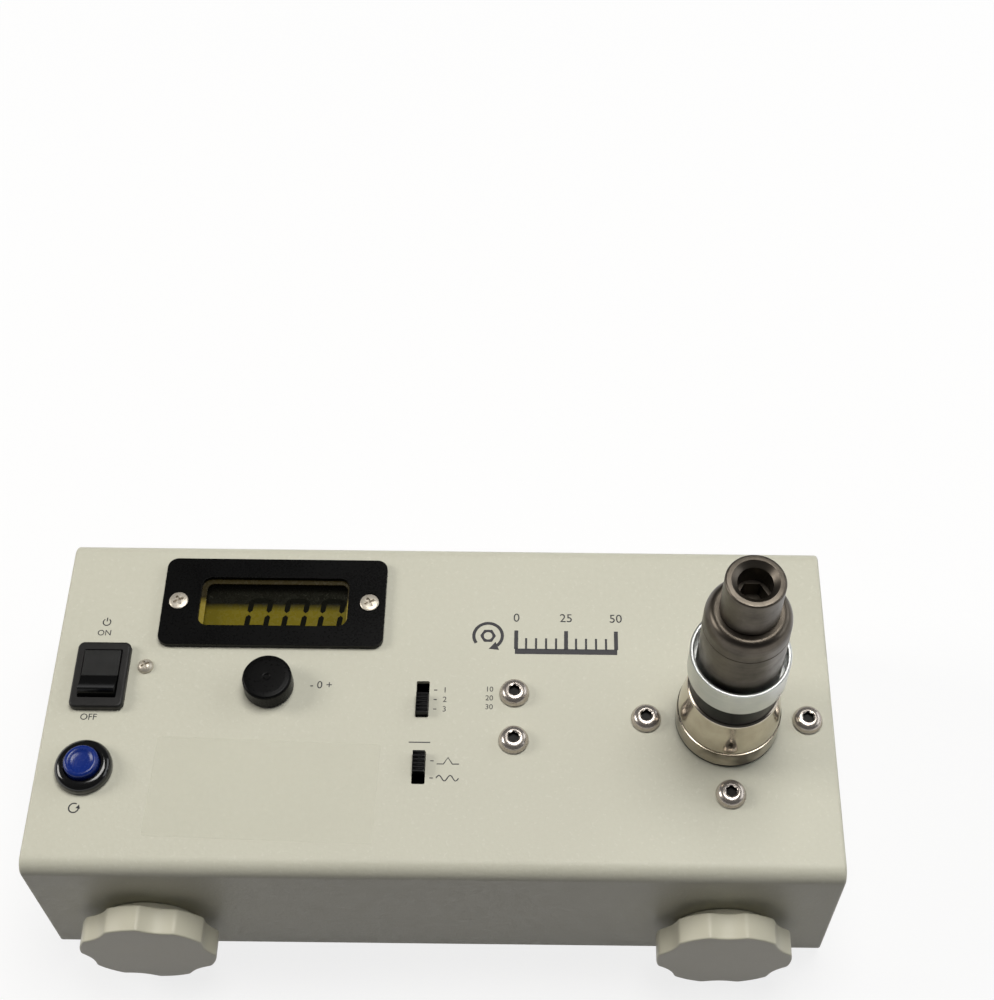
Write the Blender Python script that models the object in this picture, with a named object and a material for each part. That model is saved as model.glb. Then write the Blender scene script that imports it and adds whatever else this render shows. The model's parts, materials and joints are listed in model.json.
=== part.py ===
"""Digital torque meter with a clamped bench housing and a seated joint adapter.

The meter is a folded and welded steel shell on a base plate. The top panel carries a display,
a power rocker, a reset button, a zero knob and two slide selectors. A torque cell hangs under
the panel on four screws, and its chrome hub stands up through the panel and takes the adapter.
Two lobed clamp knobs stand on the front. Everything is in metres with +Z up. X and Y of every
place below are measured from the middle of the housing, and heights with the word above are
measured from the panel's outer face.
"""

import math

import bmesh
import bpy
from mathutils import Matrix

MM = 0.001

# General clearances
GAP = 0.3 * MM
MERGE = 0.0000005
WELD_LAP = 0.5 * MM
CUT_OVER = 1 * MM
SMALL_EDGE = 0.4 * MM
PLATE_CORNER = 1 * MM

# Housing shell
HOUSING_WIDTH = 215 * MM
HOUSING_DEPTH = 100 * MM
HOUSING_HEIGHT = 52 * MM
SHELL_WALL = 1.5 * MM
FOLD_RADIUS = 3 * MM
WELD_EDGE_RADIUS = 0.8 * MM
LUG_SIZE = 8 * MM
LUG_HEIGHT = 9 * MM

# Base plate and feet
BASE_THICKNESS = 1.5 * MM
BASE_FLANGE_HEIGHT = 12 * MM
BASE_FLANGE_LENGTH = 60 * MM
FOOT_HEIGHT = 4 * MM
FOOT_RADIUS = 8 * MM
FOOT_TAPER = 1 * MM
FOOT_INSET = 18 * MM
FOOT_RECESS_RADIUS = 4.2 * MM
FOOT_RECESS_DEPTH = 2.2 * MM
SMALL_SCREW_RADIUS = 1.5 * MM
SMALL_HEAD_RADIUS = 2.8 * MM
SMALL_HEAD_HEIGHT = 1.5 * MM
SMALL_SCREW_LENGTH = 7 * MM
FOOT_SCREW_END = 2 * MM

# Clamp knobs on the front
KNOB_INSET = 29.5 * MM
KNOB_SPACING = HOUSING_WIDTH - 2 * KNOB_INSET
KNOB_HEIGHT = 18 * MM
KNOB_RADIUS = 17.9 * MM
KNOB_GRIP = 6.9 * MM
KNOB_BOSS_RADIUS = 13.2 * MM
KNOB_BOSS_LENGTH = 3 * MM
KNOB_LOBES = 6
KNOB_NOTCH_ANGLE = math.radians(28)
KNOB_NOTCH_DEPTH = 1.3 * MM
KNOB_EDGE_RADIUS = 0.7 * MM
KNOB_TURNS = {"left": math.radians(-13), "right": 0}
STUD_RADIUS = 3 * MM
STUD_REACH = 14 * MM
STUD_SEAT_DEPTH = 5 * MM
WELD_NUT_SIZE = 10 * MM
WELD_NUT_THICKNESS = 5 * MM

# Display
DISPLAY_INSET = (59.3 * MM, 20.3 * MM)
DISPLAY_CENTRE = (DISPLAY_INSET[0] - HOUSING_WIDTH / 2, HOUSING_DEPTH / 2 - DISPLAY_INSET[1])
DISPLAY_SIZE = (63 * MM, 28 * MM)
DISPLAY_CORNER = 3 * MM
DISPLAY_THICKNESS = 1.5 * MM
WINDOW_MARGIN = (21 * MM, 12.5 * MM)
WINDOW_SIZE = (DISPLAY_SIZE[0] - WINDOW_MARGIN[0], DISPLAY_SIZE[1] - WINDOW_MARGIN[1])
WINDOW_CORNER = 2.8 * MM
WINDOW_LIP = 2 * MM
WINDOW_THICKNESS = 1.2 * MM
LCD_MARGIN = (4 * MM, 5.5 * MM)
LCD_SIZE = (WINDOW_SIZE[0] + LCD_MARGIN[0], WINDOW_SIZE[1] + LCD_MARGIN[1])
LCD_THICKNESS = 2.8 * MM
LCD_CORNER = 0.5 * MM
LCD_DEPTH = 2.4 * MM
BOARD_THICKNESS = 1.6 * MM
DISPLAY_BOARD_MARGIN = 2 * MM
DISPLAY_BOARD_SIZE = (DISPLAY_SIZE[0] - DISPLAY_BOARD_MARGIN,
                      DISPLAY_SIZE[1] + DISPLAY_BOARD_MARGIN)
DISPLAY_SCREW_INSET = 4.5 * MM
DISPLAY_SCREW_SPACING = DISPLAY_SIZE[0] - 2 * DISPLAY_SCREW_INSET
DISPLAY_HEAD_RADIUS = 2.65 * MM
DISPLAY_HEAD_HEIGHT = 1 * MM
DISPLAY_HEAD_CROWN = 0.35 * MM

# Power rocker
SWITCH_INSET = 13.7 * MM
SWITCH_Y = 5.7 * MM
SWITCH_CENTRE = (SWITCH_INSET - HOUSING_WIDTH / 2, SWITCH_Y)
SWITCH_BEZEL = (15 * MM, 21 * MM)
SWITCH_BEZEL_HEIGHT = 2 * MM
SWITCH_CORNER = 1.8 * MM
SWITCH_BEZEL_EDGE = 0.6 * MM
SWITCH_BODY = (13 * MM, 19 * MM)
SWITCH_DEPTH = 17 * MM
SWITCH_TERMINAL = (0.8 * MM, 4.8 * MM, 7 * MM)
SWITCH_TERMINAL_SPACING = 7 * MM
ROCKER_WIDTH = 10 * MM
ROCKER_REACH = 6.75 * MM
ROCKER_END_HEIGHT = 3.3 * MM
ROCKER_CREASE_HEIGHT = 2 * MM
ROCKER_BOTTOM_HALF = 3.6 * MM
ROCKER_BOTTOM_DEPTH = 4 * MM
ROCKER_TILT = math.radians(8)
ROCKER_PIVOT_DEPTH = 1.6 * MM

# Reset button
RESET_INSET = 13.2 * MM
RESET_Y = -21.5 * MM
RESET_CENTRE = (RESET_INSET - HOUSING_WIDTH / 2, RESET_Y)
RESET_BEZEL_RADIUS = 7.65 * MM
RESET_BEZEL_HEIGHT = 3.2 * MM
RESET_DOME_WIDTH = 1.6 * MM
RESET_DOME_DROP = 1.2 * MM
RESET_MOUTH = 0.6 * MM
RESET_BARREL_RADIUS = 6 * MM
RESET_BARREL_DEPTH = 15 * MM
RESET_FLOOR = 1.5 * MM
RESET_CAP_RADIUS = 4.9 * MM
RESET_CAP_TOP = 5.5 * MM
RESET_CAP_DISH = 0.5 * MM
RESET_CAP_EDGE = 0.7 * MM
RESET_CAP_LENGTH = 12 * MM
RESET_NUT_RADIUS = 8.5 * MM
RESET_NUT_THICKNESS = 2.5 * MM

# Zero knob and potentiometer
ZERO_OFFSET = (0.9 * MM, -26 * MM)
ZERO_CENTRE = (DISPLAY_CENTRE[0] + ZERO_OFFSET[0], DISPLAY_CENTRE[1] + ZERO_OFFSET[1])
ZERO_KNOB_RADIUS = 6.85 * MM
ZERO_KNOB_FOOT = 0.5 * MM
ZERO_KNOB_HEIGHT = 5.6 * MM
ZERO_KNOB_WALL = 0.9 * MM
ZERO_KNOB_EDGE = 0.6 * MM
ZERO_KNOB_SKIRT = 3 * MM
ZERO_DOT_RADIUS = 0.8 * MM
ZERO_DOT_SLOPE = 0.2 * MM
POT_RADIUS = 8 * MM
POT_HEIGHT = 8 * MM
POT_BUSHING_RADIUS = 3.5 * MM
POT_BUSHING_RISE = 3 * MM
POT_SHAFT_RADIUS = 2 * MM
POT_SHAFT_TOP = 4.6 * MM
POT_NUT_ACROSS_FLATS = 8.5 * MM
POT_NUT_THICKNESS = 1.8 * MM
POT_FLOOR = 1 * MM
POT_LEG_PITCH = 5 * MM
POT_LEG_WIDTH = 2 * MM
POT_LEG_LENGTH = 4 * MM
POT_LEG_HEIGHT = 2 * MM
POT_LEG_THICKNESS = 0.8 * MM

# Slide selectors and their bracket
UNIT_CENTRE = (-4.9 * MM, 0.4 * MM)
UNIT_SLOT = (3.6 * MM, 11 * MM)
UNIT_TRAVEL = 6 * MM
MODE_CENTRE = (-5 * MM, -20 * MM)
MODE_SLOT = (3.6 * MM, 9.6 * MM)
MODE_TRAVEL = 4 * MM
LEVER_WIDTH = 2.8 * MM
LEVER_LENGTH = 4.2 * MM
LEVER_RISE = 2.2 * MM
LEVER_FOOT = 3 * MM
LEVER_RIBS = 3
LEVER_RIB_DEPTH = 0.5 * MM
LEVER_FOOT_MARGIN = 1 * MM
SLIDE_BODY_WIDTH = 7 * MM
SLIDE_BODY_MARGIN = 3.5 * MM
SLIDE_BODY_HEIGHT = 6.5 * MM
SLIDE_FLOOR = 1.5 * MM
SLIDE_CORNER = 0.2 * MM
BRACKET_THICKNESS = 1.2 * MM
BRACKET_SCREW_OFFSET = 25.2 * MM
BRACKET_SCREW_X = UNIT_CENTRE[0] + BRACKET_SCREW_OFFSET
BRACKET_SCREW_Y = (2.3 * MM, -11.8 * MM)
BRACKET_FLANGE = 13 * MM
BRACKET_SHELF_START = -12 * MM
BRACKET_Y = (-29 * MM, 11 * MM)

# Button-head screws
M4_RADIUS = 2 * MM
M4_HEAD_RADIUS = 4.1 * MM
M4_HEAD_HEIGHT = 2.4 * MM
M4_SOCKET_ACROSS_FLATS = 2.6 * MM
M4_SOCKET_DEPTH = 1.4 * MM
M4_LENGTH = 9 * MM

# Small panel screw near the rocker
PANEL_SCREW_OFFSET = (11.7 * MM, 3.7 * MM)
PANEL_SCREW_CENTRE = (SWITCH_CENTRE[0] + PANEL_SCREW_OFFSET[0],
                      SWITCH_CENTRE[1] + PANEL_SCREW_OFFSET[1])
PANEL_SCREW_HEAD_RADIUS = 2.2 * MM
PANEL_SCREW_HEAD_HEIGHT = 1.3 * MM
PANEL_SCREW_RADIUS = 1.25 * MM
PANEL_SCREW_LENGTH = 7 * MM
PANEL_NUT_ACROSS_FLATS = 5 * MM
PANEL_NUT_THICKNESS = 2 * MM

# Torque cell, hub and collar
HUB_INSET = 29.2 * MM
HUB_Y = -4.9 * MM
HUB_CENTRE = (HOUSING_WIDTH / 2 - HUB_INSET, HUB_Y)
CELL_SCREW_RADIUS = 22 * MM
CELL_FLANGE_SIZE = 54 * MM
CELL_FLANGE_CORNER = 6 * MM
CELL_FLANGE_THICKNESS = 6 * MM
CELL_TUBE_RADIUS = 16 * MM
CELL_DEPTH = 30 * MM
CELL_FLOOR = 5 * MM
CELL_POST_RADIUS = 6.5 * MM
CELL_RELIEF = 2 * MM
HUB_SHANK_RADIUS = 11.5 * MM
HUB_SHANK_DEPTH = 14 * MM
HUB_RING_RADIUS = 14.1 * MM
HUB_RING_HEIGHT = 7.4 * MM
HUB_RING_EDGE = 0.3 * MM
HUB_BELL_RADIUS = 13.8 * MM
HUB_BELL_HEIGHT = 20.5 * MM
HUB_NECK_RADIUS = 12 * MM
HUB_NECK_LIP = 0.4 * MM
HUB_NECK_HEIGHT = 27.7 * MM
HUB_BORE_RADIUS = 10 * MM
HUB_POCKET_ACROSS_FLATS = 17.6 * MM
HUB_POCKET_TOP = 20 * MM
HUB_POCKET_FLOOR = 7 * MM
COLLAR_RADIUS = 13.05 * MM
COLLAR_BORE_RADIUS = 12 * MM
COLLAR_HEIGHT = 11 * MM
COLLAR_FLOOR = 3 * MM
COLLAR_EDGE = 0.4 * MM

# Adapter seated in the hub
ADAPTER_RADIUS = 11.05 * MM
ADAPTER_SHOULDER = 56.2 * MM
ADAPTER_TOP = 60.3 * MM
ADAPTER_TOP_RADIUS = 8.3 * MM
ADAPTER_SPIGOT_RADIUS = 9.6 * MM
ADAPTER_CORE_RADIUS = 7.6 * MM
ADAPTER_HEX_LENGTH = 11.5 * MM
ADAPTER_BORE_DEPTH = 22 * MM
SPINDLE_RADIUS = 7.5 * MM
SPINDLE_HEIGHT = 13.4 * MM
SPINDLE_EDGE = 0.6 * MM
SPINDLE_STEM_RADIUS = 4 * MM
SPINDLE_STEM_LENGTH = 21 * MM
RECESS_MOUTH_RADIUS = 5.9 * MM
RECESS_MOUTH_DEPTH = 1.2 * MM
RECESS_RADIUS = 4.4 * MM
RECESS_DEPTH = 7 * MM
RECESS_HEX_ACROSS_FLATS = 6.6 * MM
RECESS_HEX_DEPTH = 5 * MM

# Electronics inside
MAIN_BOARD_SHARE = (0.41, 0.56)
MAIN_BOARD_SIZE = (MAIN_BOARD_SHARE[0] * HOUSING_WIDTH, MAIN_BOARD_SHARE[1] * HOUSING_DEPTH)
MAIN_BOARD_INSET = 29.5 * MM
MAIN_BOARD_Y = 14 * MM
MAIN_BOARD_CENTRE = (HOUSING_WIDTH / 2 - MAIN_BOARD_INSET - MAIN_BOARD_SIZE[0] / 2, MAIN_BOARD_Y)
MAIN_BOARD_PARTS = ((-0.20, 0.11, 0.30, 0.18, 4 * MM), (0.16, 0.14, 0.16, 0.25, 3 * MM),
                    (-0.23, -0.29, 0.34, 0.12, 9 * MM), (0.27, -0.25, 0.14, 0.18, 8 * MM))
CAPACITOR_RADIUS = 3.4 * MM
CAPACITOR_HEIGHT = 9 * MM
CAPACITOR_PLACES = ((0.02, -0.25), (0.14, -0.25))
SUPPORT_HEIGHT = 6 * MM
SUPPORT_RADIUS = 2.6 * MM
SUPPORT_PIN_RADIUS = 1.5 * MM
SUPPORT_PIN_RISE = 3 * MM
SUPPORT_INSET = 4.5 * MM
CELL_CAN_RADIUS = 7.25 * MM
CELL_CAN_LENGTH = 50.5 * MM
BATTERY_INSET = (45.5 * MM, 42 * MM)
BATTERY_CENTRE = (BATTERY_INSET[0] - HOUSING_WIDTH / 2, BATTERY_INSET[1] - HOUSING_DEPTH / 2)
BATTERY_COLUMNS = 3
BATTERY_LAYERS = 2
STRAP_WIDTH = 16 * MM
STRAP_THICKNESS = 1.2 * MM
STRAP_FOOT = 10 * MM

# Charging jack in the back wall
JACK_INSET = 23.5 * MM
JACK_CENTRE_X = JACK_INSET - HOUSING_WIDTH / 2
JACK_HEIGHT = 22 * MM
JACK_FLANGE_RADIUS = 5.5 * MM
JACK_FLANGE_THICKNESS = 2 * MM
JACK_BARREL_RADIUS = 4 * MM
JACK_BARREL_LENGTH = 15 * MM
JACK_BORE_RADIUS = 2.8 * MM
JACK_BORE_DEPTH = 10 * MM
JACK_PIN_RADIUS = 1 * MM
JACK_PIN_BACK = 1 * MM
JACK_NUT_ACROSS_FLATS = 11 * MM
JACK_NUT_THICKNESS = 2 * MM

# Places worked out from the sizes above
BOTTOM = FOOT_HEIGHT
PANEL_TOP = BOTTOM + HOUSING_HEIGHT
PANEL_UNDER = PANEL_TOP - SHELL_WALL
BASE_TOP = BOTTOM + BASE_THICKNESS
KNOB_REACH = GAP + KNOB_BOSS_LENGTH + KNOB_GRIP
JACK_REACH = GAP + JACK_FLANGE_THICKNESS
HOUSING_Y = (KNOB_REACH - JACK_REACH) / 2
FRONT_Y = -HOUSING_DEPTH / 2
BACK_Y = HOUSING_DEPTH / 2

# Facets of round pieces
FINE = 24
ROUND = 14
COARSE = 8


def clear_scene():
    """Remove every object, so that the script gives the same model in any file."""
    for item in list(bpy.data.objects):
        bpy.data.objects.remove(item, do_unlink=True)


def make_material(name, color, roughness, metallic=0.0, alpha=1.0):
    """Return a Principled material with the given finish."""
    finish = bpy.data.materials.new(name)
    finish.use_nodes = True
    shader = finish.node_tree.nodes["Principled BSDF"]
    shader.inputs["Base Color"].default_value = (*color, 1.0)
    shader.inputs["Roughness"].default_value = roughness
    shader.inputs["Metallic"].default_value = metallic
    shader.inputs["Alpha"].default_value = alpha
    finish.diffuse_color = (*color, alpha)
    return finish


def place(name, shape, finish, parent, at=(0, 0, 0), smooth=True):
    """Make a named object from a bmesh whose origin lies at the given place."""
    bmesh.ops.remove_doubles(shape, verts=shape.verts, dist=MERGE)
    bmesh.ops.recalc_face_normals(shape, faces=shape.faces)
    mesh = bpy.data.meshes.new(name)
    shape.to_mesh(mesh)
    shape.free()
    if finish:
        mesh.materials.append(finish)
    if smooth:
        mesh.shade_smooth()
        mesh.set_sharp_from_angle(angle=math.radians(32))
    item = bpy.data.objects.new(name, mesh)
    item.location = at
    item.parent = parent
    bpy.context.collection.objects.link(item)
    return item


def combine(target, shape, operation, label):
    """Add a Boolean of the bmesh to the target. The bmesh lies in the target's own frame."""
    tool = place(f"{target.name}_{label}", shape, None, target, smooth=False)
    tool.hide_render = True
    tool.display_type = "WIRE"
    step = target.modifiers.new(label, "BOOLEAN")
    step.operation = operation
    step.solver = "EXACT"
    step.object = tool


def cut(target, shape, label="cut"):
    """Take the bmesh away from the target."""
    combine(target, shape, "DIFFERENCE", label)


def join(target, shape, label="join"):
    """Join the bmesh to the target as one body."""
    combine(target, shape, "UNION", label)


def arc(centre, radius, start, end, steps):
    """Return points along an arc, both ends included. Angles are in degrees."""
    points = []
    for index in range(steps + 1):
        angle = math.radians(start + (end - start) * index / steps)
        points.append((centre[0] + radius * math.cos(angle), centre[1] + radius * math.sin(angle)))
    return points


def rounded_outline(width, depth, radius, steps=3):
    """Return the outline of a rectangle with round corners, centred on zero."""
    x, y = width / 2 - radius, depth / 2 - radius
    corners = (((x, y), 0), ((-x, y), 90), ((-x, -y), 180), ((x, -y), 270))
    points = []
    for centre, start in corners:
        points += arc(centre, radius, start, start + 90, steps)
    return points


def polygon_outline(across_flats, sides=6):
    """Return a regular polygon's outline from its size across the flats."""
    radius = across_flats / 2 / math.cos(math.pi / sides)
    return [(radius * math.cos(2 * math.pi * (i + 0.5) / sides),
             radius * math.sin(2 * math.pi * (i + 0.5) / sides)) for i in range(sides)]


def circle_outline(radius, sides):
    """Return a circle's outline."""
    return [(radius * math.cos(2 * math.pi * i / sides),
             radius * math.sin(2 * math.pi * i / sides)) for i in range(sides)]


def add_prism(shape, outline, low, high, centre=(0, 0), axis="Z"):
    """Extrude an outline between two levels of an axis.

    On Z the outline is X and Y, on Y it is X and Z, and on X it is Y and Z.
    """
    order = {"Z": lambda u, v, w: (u, v, w),
             "Y": lambda u, v, w: (u, w, v),
             "X": lambda u, v, w: (w, u, v)}[axis]
    points = [shape.verts.new(order(u + centre[0], v + centre[1], low)) for u, v in outline]
    face = shape.faces.new(points)
    shift = [b - a for a, b in zip(order(0, 0, low), order(0, 0, high))]
    grown = bmesh.ops.extrude_face_region(shape, geom=[face])["geom"]
    tips = [item for item in grown if isinstance(item, bmesh.types.BMVert)]
    bmesh.ops.translate(shape, verts=tips, vec=shift)
    return tips


def add_box(shape, low, high):
    """Add a box between two corners."""
    outline = [(low[0], low[1]), (high[0], low[1]), (high[0], high[1]), (low[0], high[1])]
    add_prism(shape, outline, low[2], high[2])


def add_turned(shape, profile, steps, centre=(0, 0), closed=False):
    """Spin a profile of (radius, height) points about a vertical axis through the centre."""
    points = [shape.verts.new((centre[0] + r, centre[1], z)) for r, z in profile]
    edges = [shape.edges.new(pair) for pair in zip(points, points[1:])]
    if closed:
        edges.append(shape.edges.new((points[-1], points[0])))
    bmesh.ops.spin(shape, geom=points + edges, cent=(centre[0], centre[1], 0), axis=(0, 0, 1),
                   angle=2 * math.pi, steps=steps, use_merge=True, use_duplicate=False)
    bmesh.ops.remove_doubles(shape, verts=shape.verts, dist=MERGE)


def turn_to(shape, direction):
    """Turn a shape that was built along +Z so that it points to the front or the back."""
    angle = math.pi / 2 if direction == "front" else -math.pi / 2
    bmesh.ops.rotate(shape, verts=shape.verts, cent=(0, 0, 0),
                     matrix=Matrix.Rotation(angle, 3, "X"))


def prism(outline, low, high, centre=(0, 0), axis="Z"):
    """Return a new bmesh that holds one prism."""
    shape = bmesh.new()
    add_prism(shape, outline, low, high, centre, axis)
    return shape


def turned(profile, steps=ROUND, centre=(0, 0), closed=False):
    """Return a new bmesh that holds one turned body."""
    shape = bmesh.new()
    add_turned(shape, profile, steps, centre, closed)
    return shape


def fold_outline(depth, bottom, top, radius, steps=4):
    """Return the U section of a folded sheet in Y and Z: front, top and back in one line."""
    y = depth / 2
    points = [(-y, bottom)]
    points += reversed(arc((-y + radius, top - radius), radius, 90, 180, steps))
    points += reversed(arc((y - radius, top - radius), radius, 0, 90, steps))
    points.append((y, bottom))
    return [(u, v) for u, v in points]


def strip_outline(path, thickness):
    """Give a bent line of right angles a sheet thickness on its left side."""
    inner = []
    count = len(path)
    for index, (u, v) in enumerate(path):
        before = path[index - 1] if index else None
        after = path[index + 1] if index < count - 1 else None
        du = dv = 0
        for a, b in ((before, (u, v)), ((u, v), after)):
            if a is None or b is None:
                continue
            length = math.hypot(b[0] - a[0], b[1] - a[1])
            du -= (b[1] - a[1]) / length * thickness
            dv += (b[0] - a[0]) / length * thickness
        inner.append((u + du, v + dv))
    return list(path) + inner[::-1]


def lobed_outline(radius, lobes, notch_angle, notch_depth, turn, arc_steps=3, notch_steps=4):
    """Return a grip's outline: round lobes with a hollow notch between each two."""
    pitch = 2 * math.pi / lobes
    points = []
    for lobe in range(lobes):
        middle = math.pi / 2 + turn + lobe * pitch
        for step in range(notch_steps):
            share = 2 * step / notch_steps - 1
            depth = notch_depth * (1 - share * share)
            angle = middle + share * notch_angle / 2
            points.append(((radius - depth) * math.cos(angle), (radius - depth) * math.sin(angle)))
        start = middle + notch_angle / 2
        for step in range(arc_steps):
            angle = start + (pitch - notch_angle) * step / arc_steps
            points.append((radius * math.cos(angle), radius * math.sin(angle)))
    return points


def on_circle(radius, count, start=0):
    """Return places evenly spread on a circle."""
    return [(radius * math.cos(start + 2 * math.pi * i / count),
             radius * math.sin(start + 2 * math.pi * i / count)) for i in range(count)]


def corner_places(width, depth):
    """Return the four corners of a rectangle centred on zero."""
    return [(x * width / 2, y * depth / 2) for x in (-1, 1) for y in (-1, 1)]


def foot_places():
    """Return where the feet stand under the base plate."""
    return corner_places(HOUSING_WIDTH - 2 * FOOT_INSET, HOUSING_DEPTH - 2 * FOOT_INSET)


def lug_places():
    """Return the middles of the welded lugs in the shell's corners."""
    inner = SHELL_WALL + LUG_SIZE / 2
    return corner_places(HOUSING_WIDTH - 2 * inner, HOUSING_DEPTH - 2 * inner)


def support_places():
    """Return where the supports carry the main board."""
    corners = corner_places(MAIN_BOARD_SIZE[0] - 2 * SUPPORT_INSET,
                            MAIN_BOARD_SIZE[1] - 2 * SUPPORT_INSET)
    return [(MAIN_BOARD_CENTRE[0] + x, MAIN_BOARD_CENTRE[1] + y) for x, y in corners]


def display_screw_places():
    """Return the middles of the two screws in the display plate."""
    x, y = DISPLAY_CENTRE
    return [(x - DISPLAY_SCREW_SPACING / 2, y), (x + DISPLAY_SCREW_SPACING / 2, y)]


def cell_screw_places():
    """Return the middles of the four screws round the hub."""
    return [(HUB_CENTRE[0] + x, HUB_CENTRE[1] + y) for x, y in on_circle(CELL_SCREW_RADIUS, 4)]


def bracket_screw_places():
    """Return the middles of the two screws that hold the selector bracket."""
    return [(BRACKET_SCREW_X, y) for y in BRACKET_SCREW_Y]


def build_housing_shell(parent, paint):
    """Folded front, top and back with welded ends, and every hole that the real one has."""
    shape = prism(fold_outline(HOUSING_DEPTH, BOTTOM, PANEL_TOP, FOLD_RADIUS),
                  -HOUSING_WIDTH / 2, HOUSING_WIDTH / 2, axis="X")
    ends = [edge for edge in shape.edges
            if abs(edge.verts[0].co.x - edge.verts[1].co.x) < MERGE
            and min(v.co.z for v in edge.verts) + max(v.co.z for v in edge.verts) > 2.01 * BOTTOM]
    bmesh.ops.bevel(shape, geom=ends, offset=WELD_EDGE_RADIUS, segments=2, profile=0.5,
                    affect="EDGES", material=-1, clamp_overlap=True)
    shell = place("housing_shell", shape, paint, parent)
    cavity = prism(fold_outline(HOUSING_DEPTH - 2 * SHELL_WALL, BOTTOM - SHELL_WALL,
                                PANEL_UNDER, FOLD_RADIUS - SHELL_WALL),
                   SHELL_WALL - HOUSING_WIDTH / 2, HOUSING_WIDTH / 2 - SHELL_WALL, axis="X")
    cut(shell, cavity, "cavity")
    lugs = bmesh.new()
    low = BASE_TOP + GAP
    weld = SHELL_WALL / 2
    for x, y in lug_places():
        reach_x = math.copysign(weld, x)
        reach_y = math.copysign(weld, y)
        add_box(lugs, (min(x - LUG_SIZE / 2, x - LUG_SIZE / 2 + reach_x),
                       min(y - LUG_SIZE / 2, y - LUG_SIZE / 2 + reach_y), low),
                (max(x + LUG_SIZE / 2, x + LUG_SIZE / 2 + reach_x),
                 max(y + LUG_SIZE / 2, y + LUG_SIZE / 2 + reach_y), low + LUG_HEIGHT))
    join(shell, lugs, "lugs")
    cut(shell, panel_holes(), "panel_holes")
    cut(shell, wall_holes(), "wall_holes")
    return shell


def panel_holes():
    """Return the cutters for all holes in the top panel and the lugs."""
    shape = bmesh.new()
    low, high = PANEL_UNDER - SHELL_WALL, PANEL_TOP + SHELL_WALL
    window = rounded_outline(WINDOW_SIZE[0] + 2 * WINDOW_LIP + 2 * GAP,
                             WINDOW_SIZE[1] + 2 * WINDOW_LIP + 2 * GAP, WINDOW_CORNER)
    add_prism(shape, window, low, high, DISPLAY_CENTRE)
    body = rounded_outline(SWITCH_BODY[0] + 2 * GAP, SWITCH_BODY[1] + 2 * GAP, PLATE_CORNER, 2)
    add_prism(shape, body, low, high, SWITCH_CENTRE)
    for centre, slot in ((UNIT_CENTRE, UNIT_SLOT), (MODE_CENTRE, MODE_SLOT)):
        add_prism(shape, rounded_outline(*slot, SMALL_EDGE, 2), low, high, centre)
    rounds = [(RESET_CENTRE, RESET_BARREL_RADIUS + GAP, ROUND),
              (ZERO_CENTRE, POT_BUSHING_RADIUS + GAP, ROUND),
              (HUB_CENTRE, HUB_SHANK_RADIUS + GAP, FINE),
              (PANEL_SCREW_CENTRE, PANEL_SCREW_RADIUS + GAP, COARSE)]
    rounds += [(spot, SMALL_SCREW_RADIUS + GAP, COARSE) for spot in display_screw_places()]
    rounds += [(spot, M4_RADIUS + GAP, COARSE)
               for spot in cell_screw_places() + bracket_screw_places()]
    for centre, radius, sides in rounds:
        add_prism(shape, circle_outline(radius, sides), low, high, centre)
    for centre in lug_places():
        add_prism(shape, circle_outline(SMALL_SCREW_RADIUS + GAP, COARSE), BOTTOM,
                  BASE_TOP + SMALL_SCREW_LENGTH, centre)
    return shape


def wall_holes():
    """Return the cutters for the holes in the front and back walls."""
    shape = bmesh.new()
    for side in (-1, 1):
        add_prism(shape, circle_outline(STUD_RADIUS + GAP, COARSE), FRONT_Y - SHELL_WALL,
                  FRONT_Y + 2 * SHELL_WALL, (side * KNOB_SPACING / 2, BOTTOM + KNOB_HEIGHT), "Y")
    add_prism(shape, circle_outline(JACK_BARREL_RADIUS + GAP, ROUND), BACK_Y - 2 * SHELL_WALL,
              BACK_Y + SHELL_WALL, (JACK_CENTRE_X, BOTTOM + JACK_HEIGHT), "Y")
    return shape


def build_base(parent, paint, rubber, steel):
    """Base plate with two folded flanges, its four feet and all eight screws."""
    width = HOUSING_WIDTH - 2 * SHELL_WALL - 2 * GAP
    depth = HOUSING_DEPTH - 2 * SHELL_WALL - 2 * GAP
    plate = place("base_plate", prism(rounded_outline(width, depth, PLATE_CORNER, 2), BOTTOM, BASE_TOP),
                  paint, parent)
    flanges = bmesh.new()
    for side in (-1, 1):
        outer = side * width / 2
        inner = outer - side * BASE_THICKNESS
        add_box(flanges, (min(outer, inner), -BASE_FLANGE_LENGTH / 2, BOTTOM),
                (max(outer, inner), BASE_FLANGE_LENGTH / 2, BOTTOM + BASE_FLANGE_HEIGHT))
    join(plate, flanges, "flanges")
    holes = bmesh.new()
    spots = [(spot, SMALL_SCREW_RADIUS + GAP) for spot in foot_places() + lug_places()]
    for centre, radius in spots:
        add_prism(holes, circle_outline(radius, COARSE), BOTTOM - CUT_OVER, BASE_TOP + CUT_OVER, centre)
    cut(plate, holes, "holes")
    top = FOOT_HEIGHT - GAP
    hole = SMALL_SCREW_RADIUS + GAP
    foot = [(hole, top), (FOOT_RADIUS, top), (FOOT_RADIUS - FOOT_TAPER, 0),
            (FOOT_RECESS_RADIUS, 0),
            (FOOT_RECESS_RADIUS, FOOT_RECESS_DEPTH), (hole, FOOT_RECESS_DEPTH)]
    for number, (x, y) in enumerate(foot_places(), 1):
        place(f"foot_{number}", turned(foot, ROUND, closed=True), rubber, parent, (x, y, 0))
        head = FOOT_RECESS_DEPTH - GAP
        shape = screw_from_below(BASE_TOP + FOOT_SCREW_END - head)
        place(f"foot_screw_{number}", shape, steel, parent, (x, y, head))
    for number, (x, y) in enumerate(lug_places(), 1):
        shape = screw_from_below(SMALL_SCREW_LENGTH)
        place(f"base_screw_{number}", shape, steel, parent, (x, y, BOTTOM - GAP))
    return plate


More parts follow.
